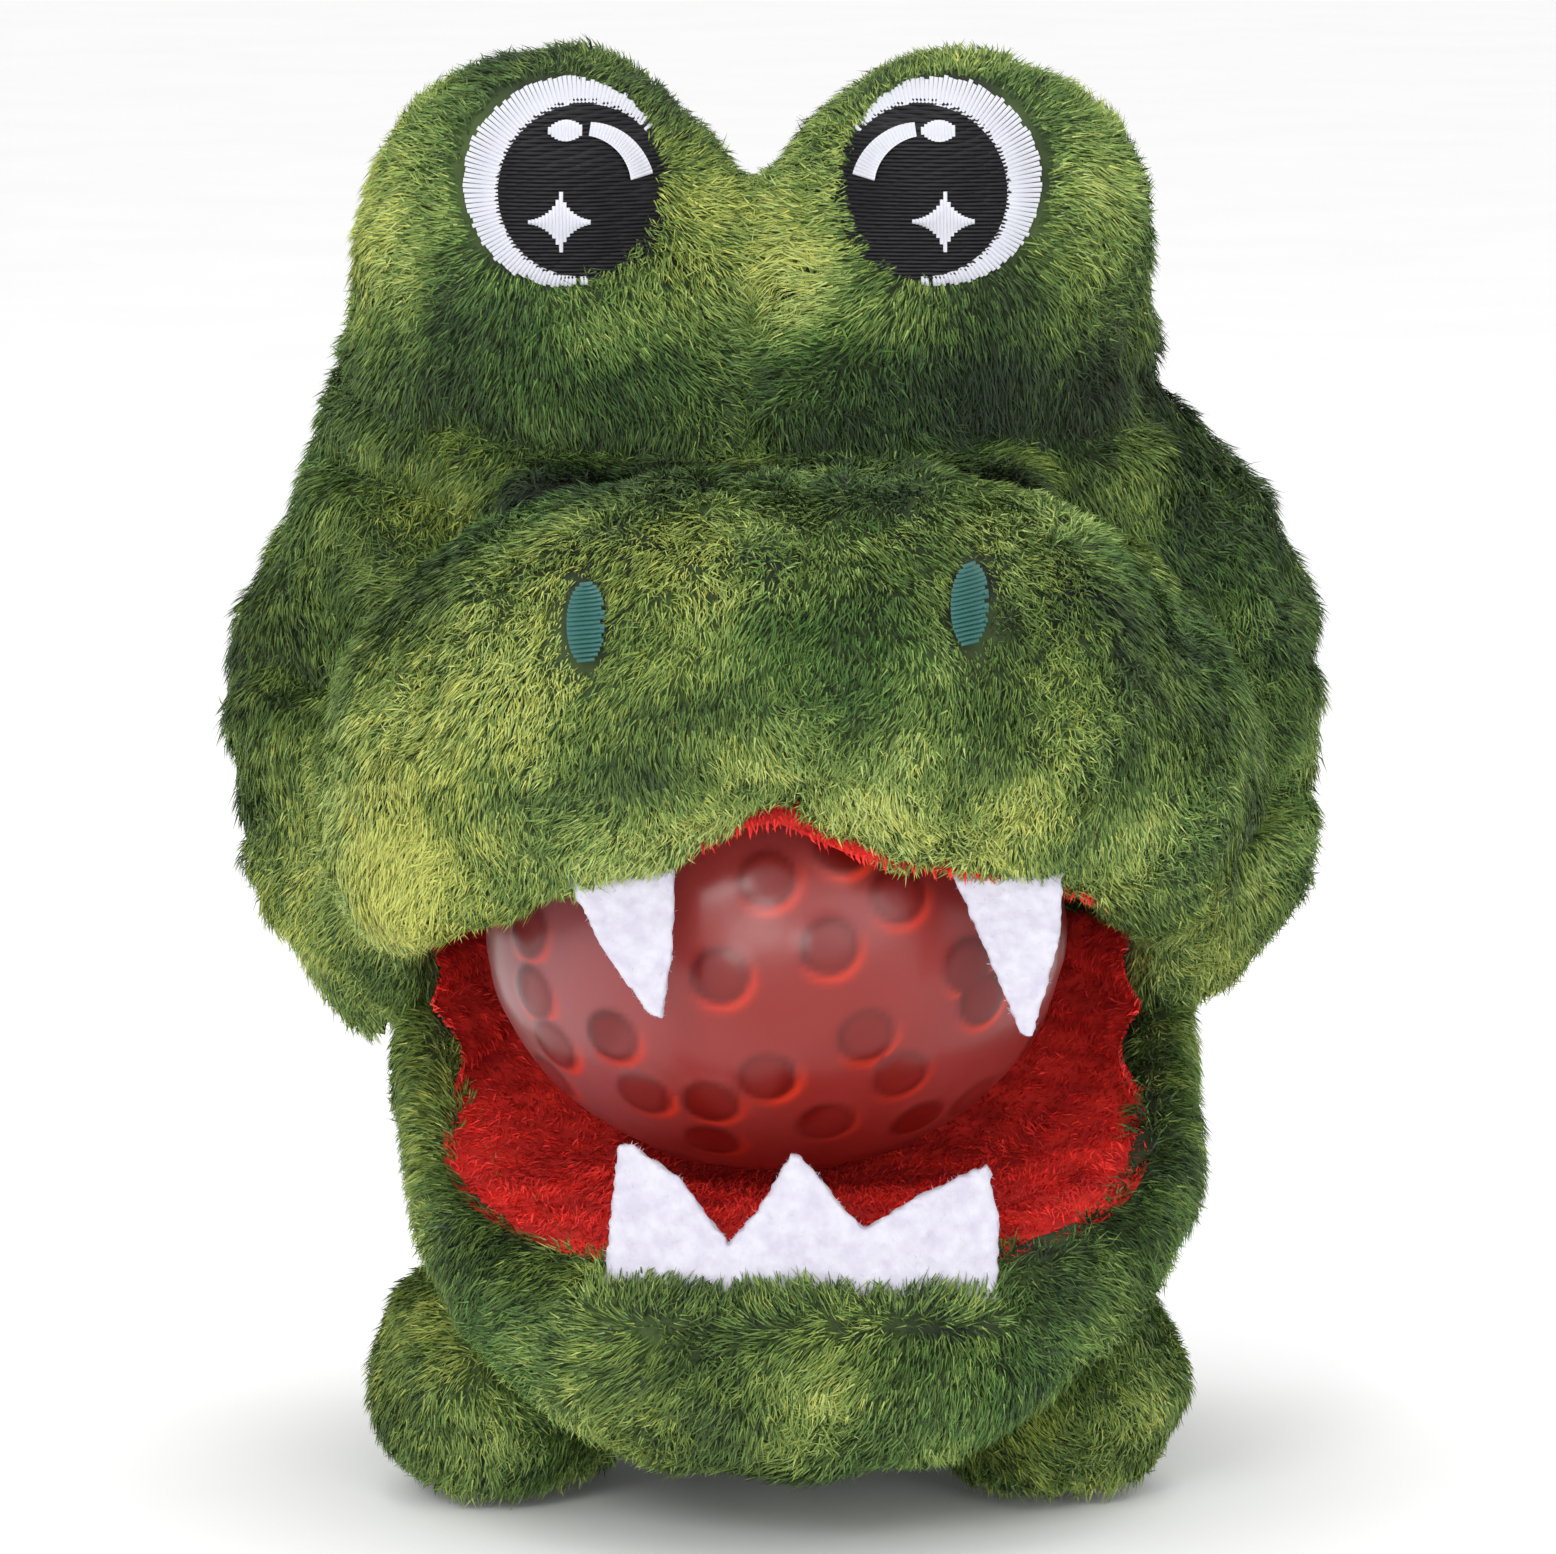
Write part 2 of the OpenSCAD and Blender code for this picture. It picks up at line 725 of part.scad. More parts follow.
mouth_gusset(1);  // right_mouth_gusset
ball_skin();
ball_water();
water_beads();
ball_plug();
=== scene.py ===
"""Moving-mouth crocodile hand puppet, the visual model.

Shape functions work in millimetres, Blender in metres.
"""

import json
import math

import bpy
import numpy as np
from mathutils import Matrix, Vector
from mathutils.kdtree import KDTree

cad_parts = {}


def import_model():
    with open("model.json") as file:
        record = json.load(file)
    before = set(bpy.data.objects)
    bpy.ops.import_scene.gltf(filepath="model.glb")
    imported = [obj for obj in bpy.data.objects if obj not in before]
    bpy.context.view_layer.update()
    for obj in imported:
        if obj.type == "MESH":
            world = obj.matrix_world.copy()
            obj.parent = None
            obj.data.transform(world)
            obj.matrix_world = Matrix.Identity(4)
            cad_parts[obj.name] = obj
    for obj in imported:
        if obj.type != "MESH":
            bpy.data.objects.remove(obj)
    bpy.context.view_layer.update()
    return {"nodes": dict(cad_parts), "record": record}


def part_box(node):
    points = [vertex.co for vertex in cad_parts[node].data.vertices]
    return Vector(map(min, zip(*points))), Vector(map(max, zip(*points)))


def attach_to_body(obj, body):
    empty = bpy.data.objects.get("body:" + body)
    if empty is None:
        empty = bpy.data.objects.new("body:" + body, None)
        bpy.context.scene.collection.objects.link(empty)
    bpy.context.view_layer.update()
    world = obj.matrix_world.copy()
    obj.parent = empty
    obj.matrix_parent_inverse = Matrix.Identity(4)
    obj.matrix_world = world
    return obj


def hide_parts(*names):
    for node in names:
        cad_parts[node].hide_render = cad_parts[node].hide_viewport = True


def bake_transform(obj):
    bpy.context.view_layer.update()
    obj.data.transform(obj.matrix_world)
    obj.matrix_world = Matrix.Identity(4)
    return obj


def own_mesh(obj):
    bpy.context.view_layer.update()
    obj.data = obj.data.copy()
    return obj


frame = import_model()

MM = 0.001
BALL = np.array([0.0, -12.0, 58.0])
BALL_R = np.array([28.8, 24.0, 24.5])
PILE = 1.7  # the backing cloth lies this far inside the tips of the pile


# ---------- signed distances ----------


def ellipsoid(p, centre, radii):
    """Distance to an ellipsoid, close enough near its surface."""
    q = p - np.array(centre, np.float32)
    r = np.array(radii, np.float32)
    k0 = np.sqrt(((q / r) ** 2).sum(-1))
    k1 = np.sqrt(((q / r**2) ** 2).sum(-1)) + 1e-9
    return k0 * (k0 - 1) / k1


def box(p, centre, half, rounding=2.0):
    q = np.abs(p - np.array(centre, np.float32)) - np.array(half, np.float32) + rounding
    outside = np.sqrt((np.maximum(q, 0) ** 2).sum(-1))
    return outside + np.minimum(q.max(-1), 0) - rounding


def join(a, b, k):
    """Both solids, with a fillet of about k."""
    h = np.clip(0.5 + 0.5 * (b - a) / k, 0, 1)
    return b + (a - b) * h - k * h * (1 - h)


def cut(a, b, k):
    """Solid a without b, with an edge rounded by about k."""
    return -join(-a, b, k)


def join_all(parts, k):
    whole = parts[0]
    for part in parts[1:]:
        whole = join(whole, part, k)
    return whole


def lumps(p, stations, count, k):
    """Ellipsoids strung through the stations, as one solid."""
    values = np.array([c + r for c, r in stations])
    at = np.linspace(0, len(values) - 1, count)
    strung = np.stack([np.interp(at, np.arange(len(values)), column) for column in values.T], -1)
    return join_all([ellipsoid(p, v[:3], v[3:] - PILE) for v in strung], k)


def signed_power(x, q):
    return np.sign(x) * np.abs(x) ** q


def ramp(x, low, high):
    """0 below low, 1 above high and smooth between."""
    t = np.clip((x - low) / (high - low), 0, 1)
    return t * t * (3 - 2 * t)


def waves(p, size, seed, count=7):
    """Smooth noise with features of about that size and a spread of about 1."""
    rng = np.random.default_rng(seed)
    k = rng.normal(size=(count, 3))
    k *= 2 * math.pi / size * rng.uniform(0.7, 1.4, (count, 1)) / np.linalg.norm(k, axis=1, keepdims=True)
    phase = rng.uniform(0, 2 * math.pi, count)
    return np.sin(p @ k.T + phase).sum(-1) / math.sqrt(count / 2)


# ---------- the puppet's shapes ----------

EYE_LEAN = -2.3
EYES = {"left": (EYE_LEAN - 20.5, -1), "right": (EYE_LEAN + 20.5, 1)}
EYE_BUMP = (20.2, 17.0, 21.0)
EYE_BUMP_Y = 9.0
EYE_BUMP_Z = 123.0
EYE_INWARD = 2.0  # how far each eye sits inward and above the middle of its bump
EYE_ABOVE = 7.8

# Stations along the snout from its left end to its right end: centre and radii.
SNOUT = [
    ((-35.5, -16, 73.0), (10.5, 21, 18)),
    ((-25.5, -22, 79.5), (12.5, 26, 21.5)),
    ((-12.5, -27, 84.5), (12.5, 25, 21.5)),
    ((-0.5, -28, 88.0), (8, 24.5, 18.5)),
    ((13.0, -27, 85.0), (12.5, 25, 21.5)),
    ((27.0, -22, 81.5), (12.5, 26, 20.5)),
    ((38.0, -16, 73.5), (10.5, 21, 17.5)),
]
# Folds in the plush of the face: both ends (x, z), width and depth.
FOLDS = [
    ((-50, 104), (-33, 99), 2.4, 3.2), ((-57, 84), (-46, 80), 2.2, 1.8), ((37, 110), (46, 102), 2.6, 3.4),
    ((57, 71), (46, 66), 2.4, 2.6), ((-2, 118), (-3, 106), 2.6, 2.6), ((20, 105), (42, 107), 2.0, 1.8),
    ((-33, 107), (-14, 104), 2.0, 1.8), ((-46, 111), (-38, 108), 1.8, 1.6),
    ((-13, 76), (4, 78), 1.1, 0.6), ((4, 78), (22, 76.5), 1.1, 0.6),
]
JAW_X = 2.0
RIM_Z = 27.3
# Plans of the mouth: centre, reach to the side, front and back, and squareness.
PALATE_PLAN = ((0, BALL[1]), 37, 29, 28.5, 0.75)
JAW_PLAN = ((JAW_X, BALL[1]), 35, 25, 27.5, 0.88)
# Rooms for the hand: centre, half size and rounding of the two boxes, centre and radii of the opening.
FINGER_ROOM = ((0, 2, 93.5), (24.2, 23.0, 7.4), 1.5)
THUMB_ROOM = ((0, -2, 18.5), (12, 26.4, 8.9), 1)
HAND_OPENING = ((0, 47, 62), (30, 12, 22))
SEAM_DEPTH = 2.4
SEAM_WIDTH = 2.2


def plan_reach(p, centre, side, front, back, q):
    """1 on a rounded rectangle in plan, less inside it."""
    x = np.abs(p[..., 0] - centre[0]) / side
    y = p[..., 1] - centre[1]
    y = np.where(y < 0, -y / front, y / back)
    return (x ** (2 / q) + y ** (2 / q)) ** (q / 2)


def palate_edge(p):
    """Height of the palate's edge under a point: high in front, highest in the notch, low behind."""
    (_, middle), side, front_reach, _, _ = PALATE_PLAN
    x = p[..., 0] / side
    y = -(p[..., 1] - middle) / front_reach
    away = np.sqrt(x * x + y * y) + 1e-6
    front = np.maximum(0, y / away) ** 1.3
    return 56.5 + 12.5 * front + 3.5 * front * np.exp(-(((p[..., 0] + 1) / 6) ** 2))


def palate_height(p):
    reach = np.minimum(plan_reach(p, *PALATE_PLAN), 1.2)
    top = BALL[2] + BALL_R[2] + 0.6
    return top - (top - palate_edge(p)) * reach**4


def jaw_edge(y):
    return RIM_Z + 22 * np.clip((y + 38) / 54, 0, 1) ** 1.15


def jaw_height(p):
    reach = np.minimum(plan_reach(p, *JAW_PLAN), 1.2)
    return 31 + (jaw_edge(p[..., 1]) - 31) * reach**3


def mouth_above(p, room):
    """The space under the palate, grown by room. The palate's edge lies 2 mm deep in the plush."""
    reach = (plan_reach(p, *PALATE_PLAN) - 1) * 30 + 2
    return np.maximum(p[..., 2] - palate_height(p) - room, reach)


def mouth_below(p, room):
    """The space over the lower lining, grown by room. The lining's edge lies 2 mm deep in the plush."""
    reach = (plan_reach(p, *JAW_PLAN) - 1) * 28
    over_edge = np.maximum(jaw_height(p) + 1 - p[..., 2], reach - 0.2)
    return np.minimum(np.maximum(jaw_height(p) - p[..., 2] - room, reach + 2), over_edge)


def sleeve_half_width(z):
    return 35.5 + 4 * ramp(z, 35, 43) + 4.5 * ramp(z, 45, 60)


def sleeve_outer(p):
    """The sleeve behind the mouth: a flat bag that widens behind the cheeks."""
    z = p[..., 2]
    half_height = np.where(z > 46, 41.0, 44.5)
    flat = np.abs(p[..., 0] / sleeve_half_width(z)) ** 3.3 + np.abs((z - 46) / half_height) ** 3.3
    around = (flat ** (1 / 3.3) - 1) * 34
    back = 46.6 - 5 * np.abs(p[..., 0] / 44) ** 3 - 4 * np.abs((z - 50) / 45) ** 3
    bag = cut(around, back - p[..., 1], 7)
    front = 13 - 4 * (1 - ramp(z, 34, 40))
    return cut(bag, p[..., 1] - front, 6)


def pillow_shape(p):
    """The flat pillow behind the face: a rounded rectangle from the front, a lens from the side."""
    x, y, z = p[..., 0], p[..., 1] - 17, p[..., 2] - 74
    up = np.where(z > 0, 38.5, 41) - PILE
    flat = (np.abs(x / (56 - PILE)) ** 2.6 + np.abs(z / up) ** 2.6) ** (1 / 2.6)
    deep = y / np.where(y < 0, 22, 28)
    return (np.sqrt(flat**2 + deep**2) - 1) * 22


def folds(p):
    """How deep the folds in the face are at each place."""
    depth = np.zeros(p.shape[:-1])
    for (ax, az), (bx, bz), width, deep in FOLDS:
        ex, ez = bx - ax, bz - az
        t = np.clip(((p[..., 0] - ax) * ex + (p[..., 2] - az) * ez) / (ex * ex + ez * ez), 0, 1)
        off = np.hypot(p[..., 0] - ax - t * ex, p[..., 2] - az - t * ez)
        depth += deep * np.exp(-((off / width) ** 2))
    return depth * (1 - ramp(p[..., 1], 8, 16))


def face_shape(p):
    brow = ellipsoid(p, (-3.3, 11, 104), (43.5 - PILE, 19, 25 - PILE))
    bumps = [
        ellipsoid(p, (x, EYE_BUMP_Y, EYE_BUMP_Z), [r - PILE for r in EYE_BUMP])
        for x, _ in EYES.values()
    ]
    fingers_cover = box(p, (0, -6, 91), (27, 14, 12.2), 5)
    face = join(join(pillow_shape(p), brow, 8), join(bumps[0], bumps[1], 2), 7)
    return join(face, fingers_cover, 3)


def snout_form(p):
    return lumps(p, SNOUT, 13, 3)


def seam_nearness(face, snout, width):
    """1 where the snout meets the face and 0 away from there."""
    return np.exp(-(((face - snout) / width) ** 2))


def head_shape(p):
    face = face_shape(p)
    snout = snout_form(p)
    head = join(face, snout, 0.8) + SEAM_DEPTH * seam_nearness(face, snout, SEAM_WIDTH)
    head = head + 0.3 * waves(p, 18, 21) + 0.15 * waves(p, 7, 22) + folds(p)
    head = cut(head, mouth_above(p, 0.5), 1.5)
    head = cut(head, box(p, (0.5, -6, 38), (36.2, 30, 19.2)), 1.5)
    back = np.maximum(sleeve_outer(p) - 0.4, 12 - p[..., 1])
    head = cut(head, back, 1.0)
    fingers = box(p, *FINGER_ROOM)
    way = box(p, (0, 27, 86.0), (23, 8, 10), 2)
    return cut(head, np.minimum(fingers, way), 0.8)


# Stations along the chin roll from its left end to its right end: centre and radii.
CHIN = [
    ((-35.3, 15, 42.5), (3.4, 8, 7.0)),
    ((-34.4, 5, 38.6), (4.0, 8, 6.0)),
    ((-33.4, -8, 33.0), (4.2, 8, 5.8)),
    ((-29.8, -18, 28.2), (5.6, 8, 6.8)),
    ((-23.5, -27, 23.0), (7.6, 9, 8.4)),
    ((-13.0, -33.3, 19.2), (9.5, 9.8, 10.8)),
    ((1.0, -35, 18.0), (11, 9.8, 11.6)),
    ((15.5, -33.3, 19.2), (10, 9.8, 10.8)),
    ((27.0, -27, 23.2), (8, 9, 8.6)),
    ((34.4, -18, 28.2), (6.0, 8, 6.8)),
    ((38.0, -8, 33.0), (4.4, 8, 5.8)),
    ((38.8, 5, 38.6), (4.2, 8, 6.0)),
    ((39.0, 15, 42.5), (3.6, 8, 7.0)),
]


def chin_shape(p):
    chin = lumps(p, CHIN, 35, 3)
    belly = ellipsoid(p, (JAW_X - 1, -26, 17), (18, 13, 8))
    chin = join(chin, belly, 5) + 0.25 * waves(p, 14, 23)
    under = box(p, (0, -6, 18.0), (13.2, 22, 9.8), 3)
    chin = join(chin, under, 2)
    chin = cut(chin, mouth_below(p, 0.5), 1.5)
    return cut(chin, box(p, *THUMB_ROOM), 0.5)


def sleeve_shape(p):
    shell = sleeve_outer(p) + PILE + 0.3 * waves(p, 15, 24)
    room = np.maximum(sleeve_outer(p) + PILE + 2.6, 16.5 - p[..., 1])
    opening = ellipsoid(p, *HAND_OPENING)
    shell = cut(shell, np.minimum(room, opening), 0.8)
    shell = cut(shell, box(p, (0, 18, 95), (24.5, 19, 20)), 1)
    mouth = box(p, (JAW_X / 2, -4, 62), (33.5, 24, 27), 3)
    shell = cut(shell, mouth, 2)
    shell = cut(shell, box(p, (0, 5, 19), (13, 20, 11)), 1)
    return cut(shell, p[..., 2] - 0.9, 2.5)


def sole_shape(p):
    """A rounded pad under the sleeve with a short tongue towards the feet."""
    around = np.abs(p[..., 0] / 22) ** 3 + np.abs((p[..., 1] - 25) / 12.5) ** 3
    pad = np.maximum((around ** (1 / 3) - 1) * 12.5, np.abs(p[..., 2] - 1.2) - 1.2)
    tongue = box(p, (0, 12, 1.2), (11, 6, 1.2), 1.1)
    return join(pad, tongue, 3)


FEET = {"left": (-27.0, -1), "right": (27.0, 1)}


def foot_shape(side):
    x, way = FEET[side]

    def shape(p):
        foot = ellipsoid(p, (x + way * 0.5, -6, 11), (14 - PILE, 17 - PILE, 14 - PILE))
        foot = foot + 0.45 * waves(p, 12, 25 + way)
        return -join(-foot, p[..., 2] - 0.6, 2.5)

    return shape


# ---------- meshes from distances ----------


def polygonise(shape, low, high, step):
    """Surface net: one point in each cell the surface crosses, one quad across each crossed grid edge."""
    axes = [np.arange(a, b + step, step, dtype=np.float32) for a, b in zip(low, high)]
    f = shape(np.stack(np.meshgrid(*axes, indexing="ij"), -1)).astype(np.float32)
    inside = f < 0
    nx, ny, nz = (n - 1 for n in f.shape)
    corners = [(i, j, k) for i in (0, 1) for j in (0, 1) for k in (0, 1)]
    count = sum(inside[i : i + nx, j : j + ny, k : k + nz].astype(np.int8) for i, j, k in corners)
    active = (count > 0) & (count < 8)
    cells = np.argwhere(active)
    index = np.full(active.shape, -1, np.int32)
    index[active] = np.arange(len(cells))
    total = np.zeros((len(cells), 3))
    crossings = np.zeros(len(cells))
    for a in corners:
        for axis in range(3):
            if a[axis]:
                continue
            b = tuple(1 if i == axis else v for i, v in enumerate(a))
            fa = f[tuple((cells + a).T)]
            fb = f[tuple((cells + b).T)]
            crossed = (fa < 0) != (fb < 0)
            t = np.where(crossed, fa / np.where(crossed, fa - fb, 1), 0)
            point = np.array(a) + t[:, None] * (np.array(b) - np.array(a))
            total += np.where(crossed[:, None], point, 0)
            crossings += crossed
    points = np.array(low) + step * (cells + total / crossings[:, None])
    quads = []
    for axis in range(3):
        u, v = (axis + 1) % 3, (axis + 2) % 3
        near = [slice(1, -1)] * 3
        far = [slice(1, -1)] * 3
        near[axis] = slice(0, -1)
        far[axis] = slice(1, None)
        start = np.array([0 if i == axis else 1 for i in range(3)])
        nodes = np.argwhere(inside[tuple(near)] != inside[tuple(far)]) + start
        eu = np.eye(3, dtype=int)[u]
        ev = np.eye(3, dtype=int)[v]
        ring = [nodes - eu - ev, nodes - ev, nodes, nodes - eu]
        quad = np.stack([index[tuple(c.T)] for c in ring], -1)
        outward = inside[tuple(nodes.T)]
        quads.append(np.where(outward[:, None], quad, quad[:, ::-1]))
    return points, np.concatenate(quads)


def make_object(name, points, loops, starts, materials, slots=None):
    """A mesh object from points in millimetres and faces given as loops with their starts."""
    mesh = bpy.data.meshes.new(name)
    mesh.vertices.add(len(points))
    mesh.vertices.foreach_set("co", (np.asarray(points, np.float32) * MM).ravel())
    mesh.loops.add(len(loops))
    mesh.loops.foreach_set("vertex_index", np.asarray(loops, np.int32))
    mesh.polygons.add(len(starts))
    mesh.polygons.foreach_set("loop_start", np.asarray(starts, np.int32))
    for material in materials:
        mesh.materials.append(material)
    if slots is not None:
        mesh.polygons.foreach_set("material_index", np.asarray(slots, np.int32))
    mesh.polygons.foreach_set("use_smooth", np.full(len(starts), True))
    mesh.update(calc_edges=True)
    obj = bpy.data.objects.new(name, mesh)
    bpy.context.scene.collection.objects.link(obj)
    return obj


def quad_object(name, points, quads, materials):
    quads = np.asarray(quads)
    return make_object(name, points, quads.ravel(), np.arange(len(quads)) * 4, materials)


def face_vectors(points, quads):
    """Each face's normal, twice as long as the face's area."""
    a, b, c, d = (points[quads[:, i]] for i in range(4))
    return np.cross(c - a, d - b)


def vertex_normals(points, quads):
    face = face_vectors(points, quads)
    normals = np.zeros_like(points)
    for i in range(4):
        np.add.at(normals, quads[:, i], face)
    return unit(normals)


def unit(v):
    return v / (np.linalg.norm(v, axis=-1, keepdims=True) + 1e-9)


def scatter(points, quads, density, rng):
    """Random places on a surface, with their normals. Density is per square millimetre."""
    a, b, c, d = (points[quads[:, i]] for i in range(4))
    area = np.linalg.norm(face_vectors(points, quads), axis=1) / 2
    count = int(area.sum() * density)
    pick = rng.choice(len(quads), count, p=area / area.sum())
    s = rng.random((count, 1))
    t = rng.random((count, 1))
    place = (a[pick] * (1 - s) + b[pick] * s) * (1 - t) + (d[pick] * (1 - s) + c[pick] * s) * t
    n = vertex_normals(points, quads)
    na, nb, nc, nd = (n[quads[pick, i]] for i in range(4))
    normal = unit((na * (1 - s) + nb * s) * (1 - t) + (nd * (1 - s) + nc * s) * t)
    return place, normal


# ---------- materials ----------


def principled(name, colour, roughness, **sockets):
    material = bpy.data.materials.new(name)
    material.use_nodes = True
    shader = material.node_tree.nodes["Principled BSDF"]
    shader.inputs["Base Color"].default_value = (*colour, 1)
    shader.inputs["Roughness"].default_value = roughness
    for socket, value in sockets.items():
        shader.inputs[socket.replace("_", " ")].default_value = value
    return material


def node(material, kind, **values):
    made = material.node_tree.nodes.new(kind)
    for key, value in values.items():
        if hasattr(made, key):
            setattr(made, key, value)
        else:
            made.inputs[key.replace("_", " ")].default_value = value
    return made


def link(material, source, target):
    material.node_tree.links.new(source, target)


def linear(*srgb):
    """A colour from 0 to 255 in sRGB as linear numbers."""
    return tuple(((c / 255 + 0.055) / 1.055) ** 2.4 if c > 10 else c / 255 / 12.92 for c in srgb)


def texture(material, kind, **values):
    """A texture over the object's own coordinates."""
    made = node(material, kind, **values)
    place = node(material, "ShaderNodeTexCoord")
    link(material, place.outputs["Object"], made.inputs["Vector"])
    return made


def mottle(material, dark, light, size, detail=4.0):
    """Two colours mixed by noise over the surface."""
    shader = material.node_tree.nodes["Principled BSDF"]
    noise = texture(material, "ShaderNodeTexNoise", Scale=1 / (size * MM), Detail=detail)
    colours = node(material, "ShaderNodeValToRGB")
    colours.color_ramp.elements[0].position = 0.35
    colours.color_ramp.elements[0].color = (*dark, 1)
    colours.color_ramp.elements[1].position = 0.65
    colours.color_ramp.elements[1].color = (*light, 1)
    link(material, noise.outputs["Fac"], colours.inputs["Fac"])
    link(material, colours.outputs["Color"], shader.inputs["Base Color"])
    return noise


def bumps(material, height_socket, depth, strength=0.6):
    shader = material.node_tree.nodes["Principled BSDF"]
    bump = node(material, "ShaderNodeBump", Strength=strength, Distance=depth * MM)
    link(material, height_socket, bump.inputs["Height"])
    link(material, bump.outputs["Normal"], shader.inputs["Normal"])


def woven(name, dark, light, roughness=0.85):
    cloth = principled(name, light, roughness)
    noise = mottle(cloth, dark, light, 3)
    weave = texture(cloth, "ShaderNodeTexChecker", Scale=2500.0)
    bumps(cloth, weave.outputs["Fac"], 0.08, 0.5)
    noise.inputs["Roughness"].default_value = 0.55
    return cloth


GREENS = [
    (30, 43, 20), (42, 60, 26), (56, 78, 33), (73, 98, 42),
    (94, 119, 54), (118, 141, 68), (143, 162, 84), (170, 184, 104),
]
YELLOW_SHIFT = [(0.90, 1.00, 0.96), (1.0, 1.0, 1.0), (1.08, 1.02, 0.90)]
LEVELS = len(GREENS)
TINTS = len(YELLOW_SHIFT)


def pile_materials():
    """The dyed pile: each strand takes one of these greens."""
    made = []
    for i, green in enumerate(GREENS):
        for j, shift in enumerate(YELLOW_SHIFT):
            colour = linear(*(min(255, c * s) for c, s in zip(green, shift)))
            made.append(principled(f"plush_pile_{i}{j}", colour, 0.62, Specular_IOR_Level=0.35))
    return made


PLUSH = pile_materials()


def backing_material():
    cloth = principled("plush_backing", linear(40, 54, 28), 0.95)
    noise = mottle(cloth, linear(20, 28, 15), linear(62, 80, 38), 9)
    bumps(cloth, noise.outputs["Fac"], 0.6)
    return cloth


BACKING = backing_material()

# Lighter and darker places of the pile's colour on the front: x, z, radius across, radius up, strength.
# Most are dyed patches; the darker places at (0, 110), (24, 112), (46, 96), (-48, 92) and (52, 74), round
# the snout, are painted shade.
DYE_AND_SHADE = [
    (-39, 70, 10, 17, 0.34), (-26, 84, 11, 7, 0.22), (3, 122, 8, 6, 0.32), (-37, 126, 7, 11, 0.34),
    (31, 131, 6, 9, 0.22), (-53, 68, 6, 12, 0.12), (42, 58, 7, 9, 0.22), (14, 72, 22, 7, 0.30),
    (0, 110, 42, 6, -0.24), (46, 96, 12, 12, -0.30), (-48, 92, 8, 14, -0.12), (4, 99, 26, 5, 0.14),
    (34, 84, 12, 10, 0.04), (24, 112, 16, 7, -0.24), (-20, 142, 16, 6, -0.06), (2, 18, 12, 8, 0.14),
    (34, 26, 9, 10, -0.06), (-30, 24, 7, 9, 0.08), (52, 74, 7, 14, -0.12), (-27, 10, 12, 12, 0.20),
    (40, 16, 6, 12, 0.16), (-42, 50, 9, 9, 0.10), (-17, 68, 13, 7, 0.42), (8, 82, 30, 10, 0.04),
]


def dye_and_shade(p):
    """How light (0 to 1) and how yellow (-1 to 1) the pile is coloured at each place: dyed patches together
    with painted shade round the snout.
    """
    light = 0.5 + 0.085 * waves(p, 44, 31) + 0.06 * waves(p, 17, 32)
    light = light + 0.05 * waves(p, 6, 33) + 0.035 * waves(p, 2.6, 36)
    front = 1 - ramp(p[:, 1], 12, 30)
    for x, z, across, up, strength in DYE_AND_SHADE:
        light += strength * front * np.exp(-(((p[:, 0] - x) / across) ** 2) - ((p[:, 2] - z) / up) ** 2)
    yellow = 0.3 * waves(p, 30, 34) + 1.4 * (light - 0.5)
    return light, yellow


def dye_and_shade_slots(p, rng, lift=0.0):
    light, yellow = dye_and_shade(p)
    level = np.rint(light * LEVELS - 0.5 + lift + rng.normal(0, 0.75, len(p)))
    tint = np.rint(1 + yellow + rng.normal(0, 0.35, len(p)))
    level = np.clip(level, 0, LEVELS - 1)
    return (level * TINTS + np.clip(tint, 0, TINTS - 1)).astype(int)


# ---------- pile ----------

STRANDS_A_PIECE = 64000
FRONT_DENSITY = 12.0  # strands on a square millimetre
BACK_DENSITY = 8.0
PILE_LENGTH = 2.7
PILE_WIDTH = 0.2


def swirl(p, size, seed):
    """A direction that wanders over the surface."""
    return np.stack([waves(p, size, seed + i) for i in (1, 2, 3)], -1)


def strands(place, normal, along, length, width, rng, rise=0.5, tangle=0.42, clump=0.4, clump_size=26):
    """Points of flat tapered strands: two at the root, two half way and one at the tip."""
    count = len(place)
    along = along + tangle * rng.normal(size=(count, 3))
    along = unit(along - normal * (along * normal).sum(-1, keepdims=True))
    up = rise * rng.uniform(0.5, 1.6, (count, 1))
    length = length[:, None] * rng.uniform(0.75, 1.2, (count, 1))
    root = place - 0.35 * normal
    mid = root + length * (0.42 * along + (0.12 + 0.55 * up) * normal)
    tip = root + length * (0.92 * along + up * normal)
    if clump > 0:
        centres = rng.choice(count, max(1, count // clump_size), replace=False)
        tree = KDTree(len(centres))
        for i, c in enumerate(centres):
            tree.insert(place[c], i)
        tree.balance()
        nearest = centres[[tree.find(q)[1] for q in place]]
        share = clump * rng.uniform(0.4, 1.0, (count, 1))
        gap = np.linalg.norm(place - place[nearest], axis=1, keepdims=True)
        share = share * (1 - ramp(gap, 1.2, 3.0))
        shift = (tip[nearest] - tip) * share
        tip = tip + shift
        mid = mid + 0.3 * shift
    turn = rng.normal(0, 0.5, (count, 1))
    side = unit(np.cross(normal, along) * np.cos(turn) + normal * np.sin(turn))
    w = width * rng.uniform(0.7, 1.25, (count, 1)) / 2
    half = side * w
    points = [root - half, root + half, mid + half * 0.85, mid - half * 0.85, tip]
    return np.stack(points, 1).reshape(-1, 3)


def strand_faces(count):
    first = np.arange(count)[:, None] * 5
    loops = (first + np.array([0, 1, 2, 3, 3, 2, 4])).ravel()
    starts = (np.arange(count)[:, None] * 7 + np.array([0, 4])).ravel()
    return loops, starts


